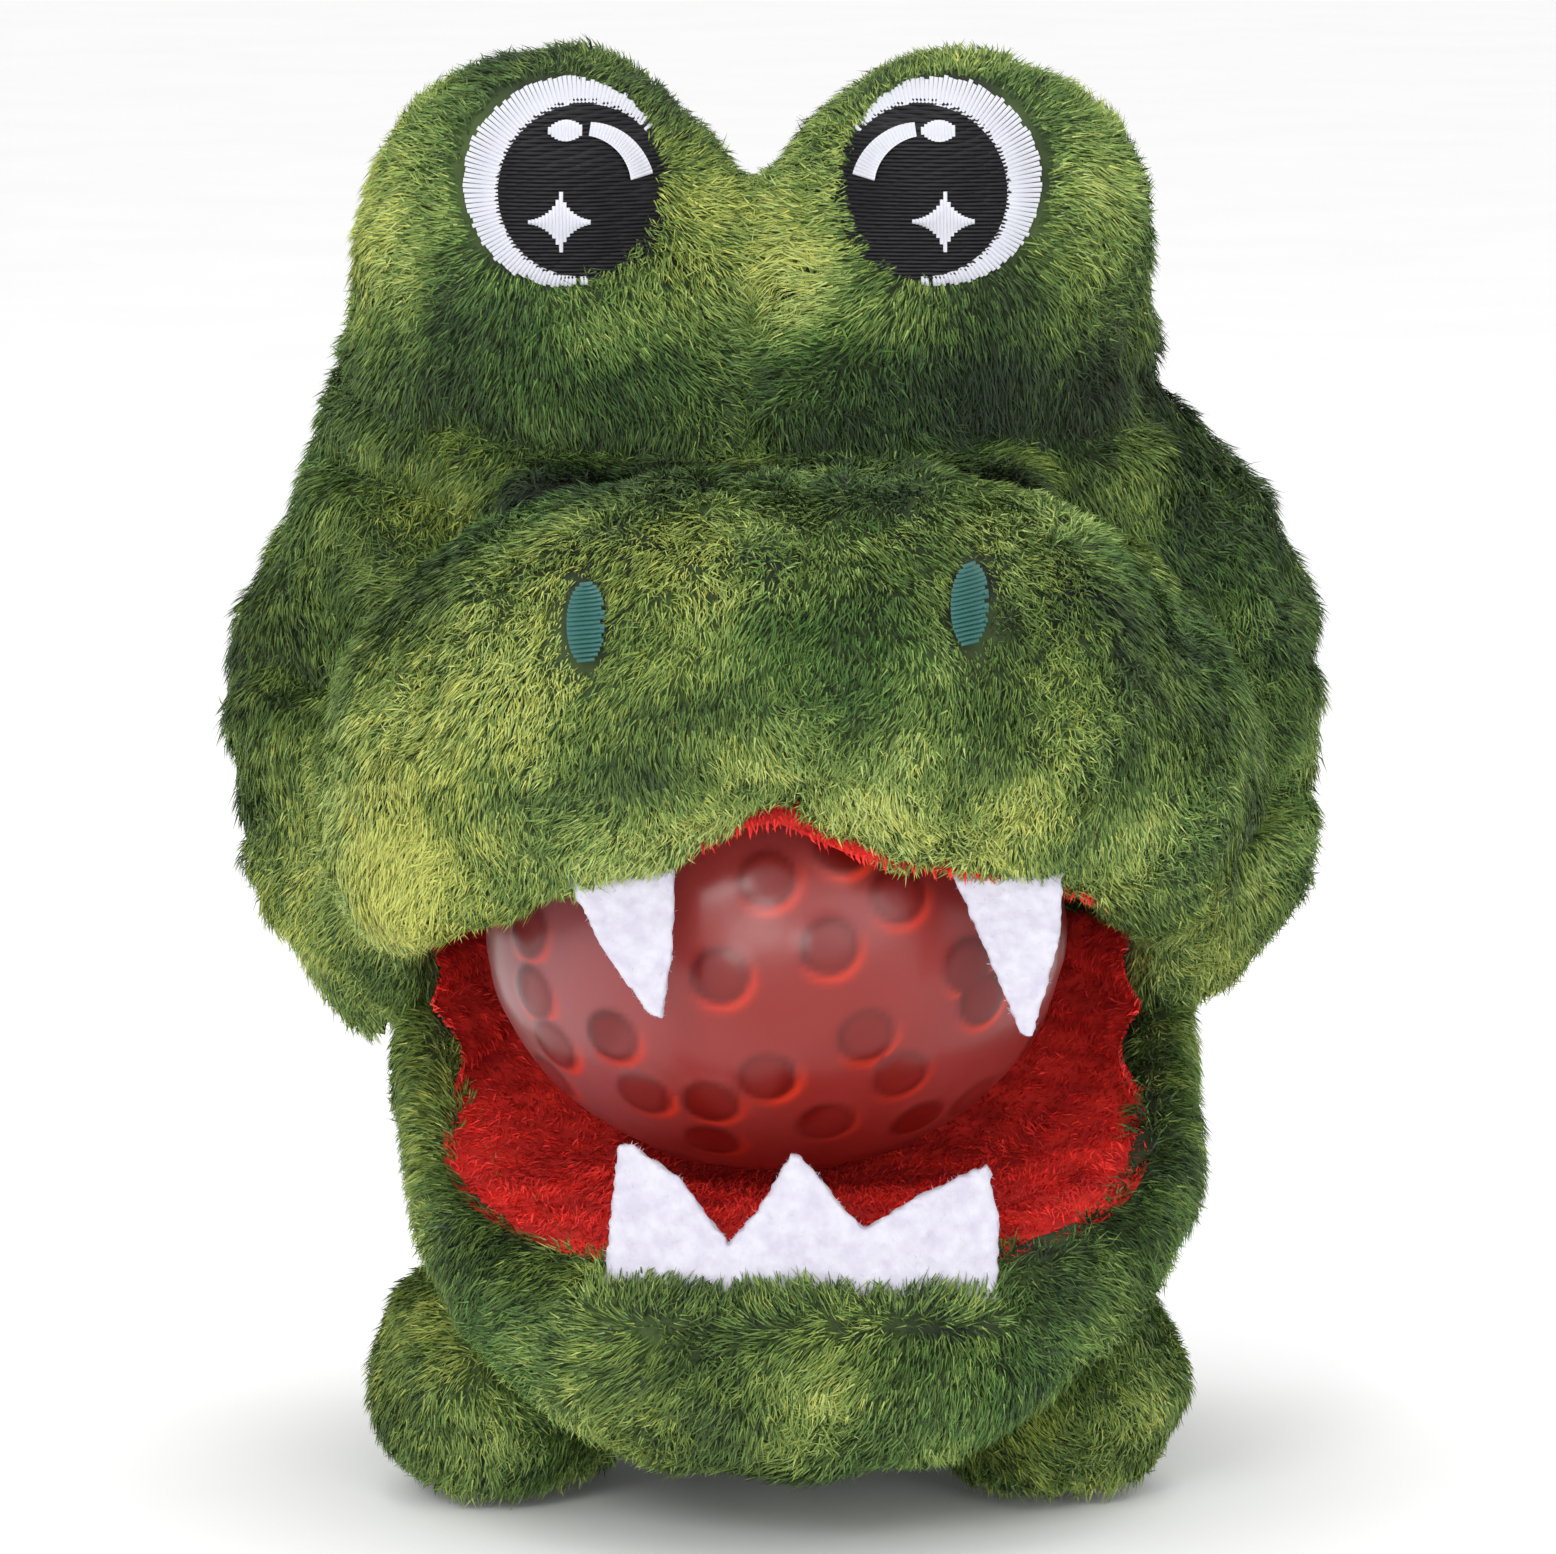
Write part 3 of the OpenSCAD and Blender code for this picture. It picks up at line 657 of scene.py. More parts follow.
def grow(name, points, slots_root, slots_tip, materials, attach):
    """Splits strands over pieces of a fair size and gives each to attach()."""
    count = len(slots_root)
    pieces = max(1, math.ceil(count / STRANDS_A_PIECE))
    for i in range(pieces):
        chosen = slice(i, count, pieces)
        mine = points.reshape(-1, 5, 3)[chosen].reshape(-1, 3)
        slots = np.stack([slots_root[chosen], slots_tip[chosen]], 1).ravel()
        loops, starts = strand_faces(len(mine) // 5)
        obj = make_object(f"{name}_{i + 1}", mine, loops, starts, materials, slots)
        attach(obj)


def no_shade(p):
    return 0.0


def plush_pile(name, surface, density, comb, keep, attach, seed, shade=no_shade):
    """Pile on a surface of points and quads. comb gives its direction, keep its places and length, shade
    its painted shade in colour levels.
    """
    rng = np.random.default_rng(seed)
    place, normal = scatter(*surface, density, rng)
    chosen, short = keep(place, normal)
    place, normal, short = place[chosen], normal[chosen], short[chosen]
    along = comb(place, normal)
    along = unit(along) + 0.32 * swirl(place, 15, seed)
    made = strands(place, normal, along, PILE_LENGTH * short, PILE_WIDTH, rng)
    # Painted shade and sheen: the root faces of each strand are coloured 1.6 levels darker and the tip face
    # 0.3 levels lighter.
    root = dye_and_shade_slots(place, rng, shade(place) - 1.6)
    tip = dye_and_shade_slots(place, rng, shade(place) + 0.3)
    grow(name, made, root, tip, PLUSH, attach)


# ---------- base shells ----------


def soft_body(name, shape, low, high, step, attach, replaced):
    points, quads = polygonise(shape, low, high, step)
    obj = quad_object(name, points, quads, [BACKING])
    attach(obj)
    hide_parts(*replaced)
    return points, quads


def rides(body):
    def attach(obj):
        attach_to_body(obj, body)

    return attach


def sleeve_bend(obj):
    """Bakes the sleeve's placement into its mesh; it rides no body."""
    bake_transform(obj)


def eye_centre(side):
    x, way = EYES[side]
    return x - way * EYE_INWARD, EYE_BUMP_Z + EYE_ABOVE


def head_comb(p, n):
    down = np.stack([0.35 * p[:, 0] / 48, np.full(len(p), -0.1), np.full(len(p), -1.0)], -1)
    on_snout = 1 - ramp(p[:, 1], -16, -4)
    away = np.zeros_like(p)
    nearest = np.full(len(p), 1e9)
    for side in EYES:
        x, z = eye_centre(side)
        d = np.stack([p[:, 0] - x, 0.4 * (p[:, 1] + 4), p[:, 2] - z], -1)
        r = np.linalg.norm(d, axis=1)
        away = np.where((r < nearest)[:, None], unit(d), away)
        nearest = np.minimum(nearest, r)
    high = ramp(p[:, 2], 104, 114)[:, None] * (1 - on_snout[:, None])
    return down * (1 - high) + away * high


def head_keep(p, n):
    """Where the head has pile, and how long it is there."""
    length = 1 - 0.15 * (1 - ramp(p[:, 1], -16, -4))
    keep = mouth_above(p, 0.5) > 0.35
    for side, (x, way) in EYES.items():
        cx, cz = eye_centre(side)
        r = np.hypot(p[:, 0] - cx, p[:, 2] - cz)
        front = p[:, 1] < EYE_BUMP_Y
        open_r = np.hypot(p[:, 0] - cx - way * 0.9, p[:, 2] - cz - 0.5)
        keep &= ~((open_r < 9.4) & front)
        length = np.where(front, length * (0.7 + 0.3 * ramp(r, 9.5, 13)), length)
    for x, z in NOSTRILS.values():
        r = np.hypot((p[:, 0] - x) / 2.1, (p[:, 2] - z) / 4.0)
        front = p[:, 1] < -20
        keep &= ~((r < 1) & front)
        length = np.where(front, length * (0.45 + 0.55 * ramp(r, 1, 2)), length)
    keep &= ~((sleeve_outer(p) < 1.6) & (p[:, 1] > 12))
    keep &= box(p, *FINGER_ROOM) > 0.6
    return keep, length


def painted_seam_shade(p):
    """Painted shade: the pile is coloured darker along the seam of the snout, where the crease lies."""
    return -4.2 * seam_nearness(face_shape(p), snout_form(p), 3.4)


NOSTRILS = {"left": (-18.0, 92.2), "right": (18.3, 93.8)}

head_surface = soft_body(
    "head_plush", head_shape, (-60, -56, 34), (60, 42, 148), 1.0, rides("head"),
    ["face_panel", "crown_panel", "crown_stuffing", "left_cheek_stuffing", "right_cheek_stuffing",
     "left_eye_bump_skin", "left_eye_bump_stuffing", "right_eye_bump_skin", "right_eye_bump_stuffing",
     "snout_skin", "snout_stuffing"],
)
plush_pile("head_pile", head_surface, FRONT_DENSITY, head_comb, head_keep, rides("head"), 41, painted_seam_shade)


def chin_comb(p, n):
    """Down the chin, but up against the teeth on the lip under them."""
    down = np.stack([-0.5 + 0.02 * p[:, 0], np.full(len(p), 0.1), np.full(len(p), -0.8)], -1)
    middle = 1 - ramp(np.abs(p[:, 0] - JAW_X), 18, 23)
    under_teeth = ramp(p[:, 2], 22, 25) * middle * (1 - ramp(p[:, 1], -38, -35))
    up = np.tile([0.1, 1.2, 0.8], (len(p), 1))
    return down + (up - down) * under_teeth[:, None]


def chin_keep(p, n):
    keep = (mouth_below(p, 0.5) > 0.8) & (box(p, *THUMB_ROOM) > 0.8)
    return keep, np.full(len(p), 0.95)


chin_surface = soft_body(
    "chin_plush", chin_shape, (-46, -52, 2), (50, 26, 53), 0.9, rides("lower_jaw"),
    ["chin_skin", "chin_stuffing", "jaw_under_panel"],
)
plush_pile("chin_pile", chin_surface, FRONT_DENSITY, chin_comb, chin_keep, rides("lower_jaw"), 51)


def sleeve_comb(p, n):
    return np.tile([0.1, 0.0, -1.0], (len(p), 1))


def sleeve_keep(p, n):
    outside = sleeve_outer(p) + PILE > -1.2
    hole = ellipsoid(p, *HAND_OPENING) > 1.0
    front = p[:, 1] > 14
    return outside & hole & front, np.full(len(p), 0.95)


sleeve_surface = soft_body(
    "sleeve_plush", sleeve_shape, (-48, 6, 1), (48, 50, 92), 1.0, sleeve_bend,
    ["back_panel", "left_flank_panel", "left_flank_stuffing", "right_flank_panel",
     "right_flank_stuffing"],
)
plush_pile("sleeve_pile", sleeve_surface, BACK_DENSITY, sleeve_comb, sleeve_keep, sleeve_bend, 61)


SOLE_CLOTH = woven("sole_cloth", linear(34, 46, 24), linear(56, 72, 36))
sole_points, sole_quads = polygonise(sole_shape, (-30, 6, -1), (30, 44, 5), 0.7)
sole = quad_object("sole_pad", sole_points, sole_quads, [SOLE_CLOTH])
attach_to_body(sole, "sleeve")
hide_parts("base_panel")


def foot_keep(p, n):
    return n[:, 2] > -0.75, np.full(len(p), 0.9)


def make_foot(side):
    x, way = FEET[side]

    def comb(p, n):
        return np.tile([0.3 * way, -0.3, -1.0], (len(p), 1))

    surface = soft_body(
        f"{side}_foot_plush", foot_shape(side), (x - 18, -26, -1), (x + 18, 14, 27), 0.9, rides("sleeve"),
        [f"{side}_foot_skin", f"{side}_foot_stuffing"],
    )
    plush_pile(f"{side}_foot_pile", surface, FRONT_DENSITY, comb, foot_keep, rides("sleeve"), 71 + way)


for foot_side in FEET:
    make_foot(foot_side)


# ---------- stitches ----------


def front_of(shape, x, z):
    """How far back (y) the front surface of a shape lies at each x and z."""
    p = np.stack([x, np.full_like(x, -60.0), z], -1)
    for _ in range(60):
        p[..., 1] += np.clip(shape(p), -2, 6) * 0.8
    return p[..., 1]


def stitches(name, starts, ends, width, height, material, lift, attach):
    """Satin stitches as small arched threads that lie on the head's front."""
    starts = np.array(starts, float)
    ends = np.array(ends, float)
    t = np.linspace(0, 1, 5)[None, :, None]
    line = starts[:, None] * (1 - t) + ends[:, None] * t
    way = unit(ends - starts)
    side = np.stack([-way[:, 1], way[:, 0]], -1)[:, None]
    across = np.array([-0.5, 0.0, 0.5])
    flat = line[:, :, None] + side[:, :, None] * (across * width)[None, None, :, None]
    arch_across = np.array([0.15, 1.0, 0.15])[None, None, :]
    arch_along = np.array([0.3, 0.95, 1, 0.95, 0.3])[None, :, None]
    arch = height * arch_across * arch_along
    y = front_of(head_shape, flat[..., 0], flat[..., 1]) - lift - arch
    points = np.stack([flat[..., 0], y, flat[..., 1]], -1).reshape(-1, 3)
    one = np.array([[r * 3 + c, (r + 1) * 3 + c, (r + 1) * 3 + c + 1, r * 3 + c + 1]
                    for r in range(4) for c in range(2)])
    quads = (np.arange(len(starts))[:, None, None] * 15 + one).reshape(-1, 4)
    obj = quad_object(name, points, quads, [material])
    attach(obj)
    return obj


def thread(name, colour, roughness=0.42, shine=0.5):
    material = principled(name, colour, roughness, Specular_IOR_Level=shine)
    twist = texture(material, "ShaderNodeTexNoise", Scale=4500.0, Detail=2.0)
    bumps(material, twist.outputs["Fac"], 0.05, 0.5)
    return material


WHITE_THREAD = thread("white_thread", linear(204, 205, 213))
BLACK_THREAD = thread("black_thread", linear(15, 14, 18), 0.5, 0.3)
TEAL_THREAD = thread("teal_thread", linear(44, 96, 90))
EYE_R = 10.0
BLACK_R = 8.8
BLACK_DROP = 0.8  # how far the black sits below the middle of the white
BLACK_INWARD = 1.7  # and how far it sits towards the other eye
LAP = 0.5  # the white ring starts this far under the black
STITCH = 0.4
ROW = 0.38


def rows(width_at, low, high, pitch, longest, rng, slant=0.0):
    """Fill stitches: level rows, each broken into stitches. width_at gives a row's ends."""
    starts, ends = [], []
    for i, z in enumerate(np.arange(low, high, pitch)):
        a, b = width_at(z)
        if b - a < 0.4:
            continue
        x = a
        first = longest * (0.35 + 0.3 * (i % 3))
        while x < b - 0.05:
            nxt = min(b, x + (first if x == a else longest * rng.uniform(0.85, 1.1)))
            starts.append((x, z))
            ends.append((nxt + 0.08, z + slant * (nxt - x)))
            x = nxt
    return np.array(starts), np.array(ends)


def eye_ring(side, black, rng):
    """White satin stitches that run outwards from the black, left out where the white gets thin."""
    white = np.array(eye_centre(side))
    starts, ends = [], []
    for a in np.linspace(0, 2 * math.pi, int(2 * math.pi * (EYE_R - 0.8) / STITCH), endpoint=False):
        d = np.array([math.cos(a), math.sin(a)])
        inner = black + d * (BLACK_R - LAP)
        off = inner - white
        reach = -off @ d + math.sqrt(max(0, (off @ d) ** 2 - off @ off + EYE_R**2))
        reach += rng.normal(0, 0.12)
        if reach > 2 * STITCH:
            starts.append(inner)
            ends.append(inner + d * reach)
    ring = stitches(f"{side}_eye_ring_stitches", starts, ends, 0.42, 0.62, WHITE_THREAD, 0.3,
                    rides("head"))
    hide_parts(f"{side}_eye_white")


def eye_black(side, black, rng):
    def width_at(z):
        half = math.sqrt(max(0, BLACK_R**2 - z * z))
        return -half, half

    s, e = rows(width_at, -BLACK_R, BLACK_R, ROW, 3.4, rng)
    fill = stitches(f"{side}_eye_black_stitches", s + black, e + black, 0.42, 0.5, BLACK_THREAD, 0.2,
                    rides("head"))
    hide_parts(f"{side}_eye_black")


def eye_lights(side, black):
    """Catch lights: a four-pointed star, an arc on the inner side and a small drop."""
    _, way = EYES[side]
    starts, ends = [], []
    star = black + np.array([way * 2.1, -2.9])
    for x in np.arange(-3.0, 3.01, 0.34):
        half = 3.5 * (1 - (abs(x) / 3.2) ** 0.5) ** 1.6 + 0.2
        starts.append(star + (x, -half))
        ends.append(star + (x, half))
    first, last = 14, 84
    for turn in np.arange(first, last, 3.2):
        a = math.radians(180 - turn if way > 0 else turn)
        d = np.array([math.cos(a), math.sin(a)])
        thin = 0.0066 * (turn - first)
        starts.append(black + d * (4.9 + thin))
        ends.append(black + d * (7.1 - thin))
    drop = black + np.array([way * 1.6, 6.0])
    for x in np.arange(-1.6, 1.61, 0.33):
        half = 0.75 * (1 - (x / 1.7) ** 2) + 0.12
        starts.append(drop + (x, -half - 0.3))
        ends.append(drop + (x, half))
    lights = stitches(f"{side}_eye_light_stitches", starts, ends, 0.4, 0.55, WHITE_THREAD, 0.6,
                      rides("head"))
    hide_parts(f"{side}_eye_highlights")


def embroider_eye(side):
    rng = np.random.default_rng(81)
    x, z = eye_centre(side)
    _, way = EYES[side]
    black = np.array([x - way * BLACK_INWARD, z - BLACK_DROP])
    eye_ring(side, black, rng)
    eye_black(side, black, rng)
    eye_lights(side, black)


def embroider_nostril(side):
    rng = np.random.default_rng(91)
    x, z = NOSTRILS[side]
    wide, high = 1.8, 3.7

    def width_at(h):
        half = wide * math.sqrt(max(0, 1 - (h / high) ** 2))
        return -half, half

    s, e = rows(width_at, -high, high, 0.4, 9.0, rng, slant=0.15)
    made = stitches(f"{side}_nostril_stitches", s + (x, z), e + (x, z), 0.42, 0.75, TEAL_THREAD, 1.3,
                    rides("head"))
    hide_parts(f"{side}_nostril")


for eye_side in EYES:
    embroider_eye(eye_side)
for nostril_side in NOSTRILS:
    embroider_nostril(nostril_side)


# ---------- felt teeth ----------


def felt_material():
    felt = principled("white_felt", linear(194, 191, 204), 0.9)
    noise = mottle(felt, linear(186, 182, 197), linear(200, 198, 209), 1.6, 6.0)
    bumps(felt, noise.outputs["Fac"], 0.25, 0.8)
    return felt


FELT = felt_material()
FUZZ = [principled("felt_fibre_light", linear(206, 204, 214), 0.8),
        principled("felt_fibre_dark", linear(182, 178, 194), 0.8)]


def polygon_distance(x, z, outline):
    """Signed distance in the plane to a closed outline."""
    best = np.full(x.shape, 1e9)
    inside = np.zeros(x.shape, bool)
    for (ax, az), (bx, bz) in zip(outline, outline[1:] + outline[:1]):
        ex, ez = bx - ax, bz - az
        t = np.clip(((x - ax) * ex + (z - az) * ez) / (ex * ex + ez * ez), 0, 1)
        best = np.minimum(best, np.hypot(x - ax - t * ex, z - az - t * ez))
        crosses = ((az > z) != (bz > z)) & (x < (bx - ax) * (z - az) / (bz - az + 1e-12) + ax)
        inside ^= crosses
    return np.where(inside, -best, best)


def felt_piece(name, outline, y_at, body, replaced, seed):
    thick = 0.75

    def shape(p):
        flat = polygon_distance(p[..., 0], p[..., 2], outline) + 0.35 + 0.05 * waves(p, 1.6, seed)
        deep = np.abs(p[..., 1] - y_at(p[..., 0], p[..., 2])) - thick + 0.35
        outside = np.hypot(np.maximum(flat, 0), np.maximum(deep, 0))
        return outside + np.minimum(np.maximum(flat, deep), 0) - 0.35 + 0.06 * waves(p, 1.1, seed + 1)

    xs = [x for x, _ in outline]
    zs = [z for _, z in outline]
    ys = [float(y_at(x, z)) for x, z in outline]
    low = (min(xs) - 1, min(ys) - 2.5, min(zs) - 1)
    high = (max(xs) + 1, max(ys) + 2.5, max(zs) + 1)
    points, quads = polygonise(shape, low, high, 0.3)
    obj = quad_object(name, points, quads, [FELT])
    attach = rides(body)
    attach(obj)
    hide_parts(replaced)
    rng = np.random.default_rng(seed)
    place, normal = scatter(points, quads, 10.0, rng)
    along = rng.normal(size=place.shape)
    size = rng.uniform(0.3, 0.9, len(place))
    fuzz = strands(place, normal, along, size, 0.045, rng, rise=0.4, tangle=0.5, clump=0)
    pick = rng.integers(0, 2, len(place))
    grow(f"{name}_fuzz", fuzz, pick, pick, FUZZ, attach)


# Outlines seen from the front, in x and z.
LEFT_FANG = [(-20.6, 68), (-9.7, 68), (-9.9, 60), (-10.9, 53.4), (-12.2, 54.0), (-16.5, 60.0)]
RIGHT_FANG = [(16.0, 69), (27.6, 69), (27.2, 61), (24.6, 51.4), (23.5, 51.8), (20.0, 60.0)]
LOWER_TEETH = [
    (-16.8, 24.8), (21.4, 24.8), (21.5, 33), (20.4, 38.4), (14.0, 35.6), (8.4, 32.4), (5.6, 35.6),
    (2.4, 39.6), (1.4, 39.6), (-1.5, 34.6), (-4.6, 31.0), (-9.4, 37.4), (-14.0, 40.4), (-15.2, 40.2),
]


def left_fang_y(x, z):
    return -39.4 - 0.14 * (67 - z)


def right_fang_y(x, z):
    return -37.0 - 0.16 * (69 - z)


def lower_teeth_y(x, z):
    """The strip bends with the lip and leans back a little."""
    return -38.8 + 0.006 * (x - JAW_X) ** 2 + 0.06 * (z - 30)


felt_piece("left_fang_felt", LEFT_FANG, left_fang_y, "head", "left_fang", 101)
felt_piece("right_fang_felt", RIGHT_FANG, right_fang_y, "head", "right_fang", 103)
felt_piece("lower_teeth_felt", LOWER_TEETH, lower_teeth_y, "lower_jaw", "lower_teeth", 105)


# ---------- mouth lining ----------


def lining_material():
    cloth = principled("red_velour", linear(214, 34, 24), 0.85)
    noise = mottle(cloth, linear(180, 20, 14), linear(228, 44, 32), 5)
    ribs = texture(cloth, "ShaderNodeTexWave", bands_direction="Z", Scale=110.0, Distortion=2.0, Detail=2.0)
    bumps(cloth, ribs.outputs["Fac"], 0.5, 0.7)
    noise.inputs["Roughness"].default_value = 0.6
    return cloth


LINING = lining_material()
REDS = [principled(f"red_fuzz_{i}", linear(*c), 0.75)
        for i, c in enumerate([(180, 17, 12), (210, 26, 17), (234, 36, 25), (248, 54, 40)])]


def grid_quads(rows_count, columns, closed):
    last = columns if closed else columns - 1
    i = np.arange(rows_count - 1)[:, None] * columns
    j = np.arange(last)[None]
    k = (j + 1) % columns
    return np.stack([i + j, i + k, i + columns + k, i + columns + j], -1).reshape(-1, 4)


def lining_piece(name, points, quads, attach, replaced, seed, facing):
    """A lining cloth and its short fuzz. facing is a point that the fuzz side looks towards."""
    obj = quad_object(name, points, quads, [LINING])
    attach(obj)
    if replaced:
        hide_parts(*replaced)
    rng = np.random.default_rng(seed)
    place, normal = scatter(points, quads, 7.0, rng)
    towards = np.array(facing) - place
    normal = np.where(((normal * towards).sum(-1) < 0)[:, None], -normal, normal)
    along = np.tile([0.15, 0.0, -1.0], (len(place), 1)) + 0.3 * swirl(place, 9, seed)
    rib = np.sin(place[:, 2] * 2 * math.pi / 1.6 + 0.6 * waves(place, 12, seed + 5))
    size = np.full(len(place), 1.25)
    fuzz = strands(place, normal, along, size, 0.2, rng, rise=0.6, tangle=0.4, clump=0.4, clump_size=12)
    shade = 1.6 + 0.75 * rib + 0.5 * waves(place, 10, seed + 7) + rng.normal(0, 0.5, len(place))
    pick = np.clip(np.rint(shade), 0, len(REDS) - 1).astype(int)
    # Painted shade: the root faces of each fuzz strand take the next darker red.
    grow(f"{name}_fuzz", fuzz, np.maximum(pick - 1, 0), pick, REDS, attach)
    return obj


STRIP_ROWS = 9


def rounded_plan(centre, side, front, back, u, q):
    x = centre[0] + side * signed_power(np.sin(u), q)
    depth = np.where(np.cos(u) > 0, front, back)
    return x, centre[1] - depth * signed_power(np.cos(u), q)


AROUND = np.linspace(0, 2 * math.pi, 120, endpoint=False)


def bowl(height, centre, side, front, back, q, steps):
    x, y = rounded_plan(centre, side, front, back, AROUND, q)
    rings = []
    for v in steps:
        out = [centre[0] + v * (x - centre[0]), centre[1] + v * (y - centre[1]), np.zeros_like(x)]
        p = np.stack(out, -1)
        p[:, 2] = height(p)
        rings.append(p)
    return rings


BOWL_STEPS = np.concatenate([[0.02], np.linspace(0.1, 1.0, 28)])
palate_rings = bowl(palate_height, *PALATE_PLAN, BOWL_STEPS)
palate_cloth = lining_piece(
    "palate_cloth", np.concatenate(palate_rings), grid_quads(len(BOWL_STEPS), len(AROUND), True),
    rides("head"), ["palate_lining"], 111, (0, -12, 60),
)
jaw_rings = bowl(jaw_height, *JAW_PLAN, BOWL_STEPS)
jaw_cloth = lining_piece(
    "jaw_cloth", np.concatenate(jaw_rings), grid_quads(len(BOWL_STEPS), len(AROUND), True),
    rides("lower_jaw"), ["jaw_lining"], 121, (0, -12, 50),
)


def foam(name, rings, lift, body, replaced):
    """A thin foam sheet behind a lining, a little smaller than the cloth."""
    near = [ring + [0, 0, lift] for ring in rings]
    far = [ring + [0, 0, lift * 3] for ring in rings]
    points = np.concatenate(near + far[::-1])
    sheet = quad_object(name, points, grid_quads(2 * len(rings), len(AROUND), True), [FOAM])
    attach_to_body(sheet, body)
    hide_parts(replaced)


def speckled(name, dark, light, size, roughness, **sockets):
    material = principled(name, light, roughness, **sockets)
    noise = mottle(material, dark, light, size)
    bumps(material, noise.outputs["Fac"], 0.1, 0.4)
    return material


FOAM = speckled("foam_stiffener", linear(150, 148, 138), linear(196, 194, 184), 0.8, 0.95)
foam("palate_foam", palate_rings[:-2], 0.7, "head", "palate_stiffener")
foam("jaw_foam", jaw_rings[:-2], -0.7, "lower_jaw", "jaw_stiffener")


def corner_cloth():
    """The cloth that joins both linings round the back of the mouth, in an upper and a lower strip."""
    span = np.abs((np.degrees(AROUND) + 180) % 360 - 180) > 100
    order = np.argsort(AROUND[span])
    top = (palate_rings[-1] + [0, 0, 0.5])[span][order]
    bottom = (jaw_rings[-1] + [0, 0, -0.3])[span][order]
    middle = (top + bottom) / 2
    middle[:, 2] = np.clip(middle[:, 2], 48.5, 51)
    t = np.linspace(0, 1, STRIP_ROWS)[:, None, None]

    def strip(a, b):
        flat = a[None] * (1 - t) + b[None] * t
        out = flat - np.array([1.0, -12, 0])
        out[..., 2] = 0
        fold = 0.25 * np.sin(flat[..., 1:2] * 1.6) - 2.0 * np.sin(math.pi * t)
        return (flat + unit(out) * fold).reshape(-1, 3)

    quads = grid_quads(STRIP_ROWS, len(top), False)

    def upper(obj):
        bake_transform(obj)

    def lower(obj):
        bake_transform(obj)

    high = strip(top, middle)
    low = strip(middle, bottom)
    upper_cloth = lining_piece("upper_corner_cloth", high, quads, upper,
                               ["left_mouth_gusset", "right_mouth_gusset"], 131, (0, -12, 55))
    lower_cloth = lining_piece("lower_corner_cloth", low, quads, lower, [], 141, (0, -12, 55))


corner_cloth()


# ---------- squeeze ball ----------

BEADS = 92
BEAD_R = 4.2


def bead_directions():
    """Even directions over a sphere, a little disturbed."""
    rng = np.random.default_rng(151)
    i = np.arange(BEADS) + 0.5
    polar = np.arccos(1 - 2 * i / BEADS)
    round_ = math.pi * (1 + math.sqrt(5)) * i
    d = np.stack([np.cos(round_) * np.sin(polar), np.sin(round_) * np.sin(polar), np.cos(polar)], -1)
    return unit(d + 0.07 * rng.normal(size=d.shape))


def sphere_directions(across, up):
    """Rings of directions round the x axis."""
    theta = np.linspace(0.004, math.pi - 0.004, up)
    phi = np.linspace(0, 2 * math.pi, across, endpoint=False)
    st, ct = np.sin(theta)[:, None], np.cos(theta)[:, None]
    return np.stack([ct * np.ones_like(phi), st * np.cos(phi), st * np.sin(phi)], -1).reshape(-1, 3)


def ball_colours(place, contacts):
    """Red haze with darker, clearer spots where a bead presses on the skin. On top: a painted highlight
    towards the upper left, a painted reflection at the ends, painted shade in a dark rim and a painted
    crescent of light round each spot.
    """
    nearest = np.full(len(place), 1e9)
    beside = np.zeros((len(place), 3))
    for c in contacts:
        d = place - c
        r = np.linalg.norm(d, axis=1)
        closer = r < nearest
        nearest = np.where(closer, r, nearest)
        beside = np.where(closer[:, None], d, beside)
    shaded_haze = np.array(linear(128, 32, 27))
    lit_haze = np.array(linear(142, 58, 56))
    # Painted highlight and shade: the haze is coloured lighter towards the upper left and darker towards
    # the lower right, with random tone from the waves.
    high = 0.35 - 0.010 * (place[:, 0] - BALL[0]) + 0.004 * (place[:, 2] - BALL[2])
    t = np.clip(high + 0.14 * waves(place, 24, 161) + 0.05 * waves(place, 9, 162), 0, 1)[:, None]
    colour = shaded_haze * (1 - t) + lit_haze * t
    # Painted reflection: the left end, and a little of the right end, are coloured a pale mauve.
    mauve_reflection = np.array(linear(150, 92, 96))
    sideways = place[:, 0] - BALL[0]
    ends = 0.6 * ramp(-sideways, 6, 24) + 0.15 * ramp(sideways, 10, 24)
    colour = colour + (mauve_reflection - colour) * ends[:, None]
    spot = 1 - ramp(nearest, 2.1, 2.9)
    # Painted shade: a dark rim round each spot.
    edge = np.exp(-(((nearest - 2.6) / 0.45) ** 2))
    # Painted light: an orange crescent on the lower right of each spot.
    low_side = np.clip((beside @ np.array([0.5, 0.0, -0.85])) / (nearest + 1e-6), 0, 1)
    lit_crescent = np.exp(-(((nearest - 3.3) / 0.5) ** 2)) * low_side
    strength = (0.55 + 0.45 * np.tanh(waves(place, 13, 163)))[:, None]
    strength = np.clip(strength, 0.62, 1)
    spot_colour = np.array(linear(104, 14, 9))
    shaded_rim_colour = np.array(linear(74, 8, 6))
    lit_crescent_colour = np.array(linear(222, 58, 30))
    colour = colour + (spot_colour - colour) * spot[:, None] * strength
    colour = colour + (shaded_rim_colour - colour) * edge[:, None] * 0.85 * strength
    colour = colour + (lit_crescent_colour - colour) * lit_crescent[:, None] * 0.85 * strength
    return np.clip(colour, 0, 1)


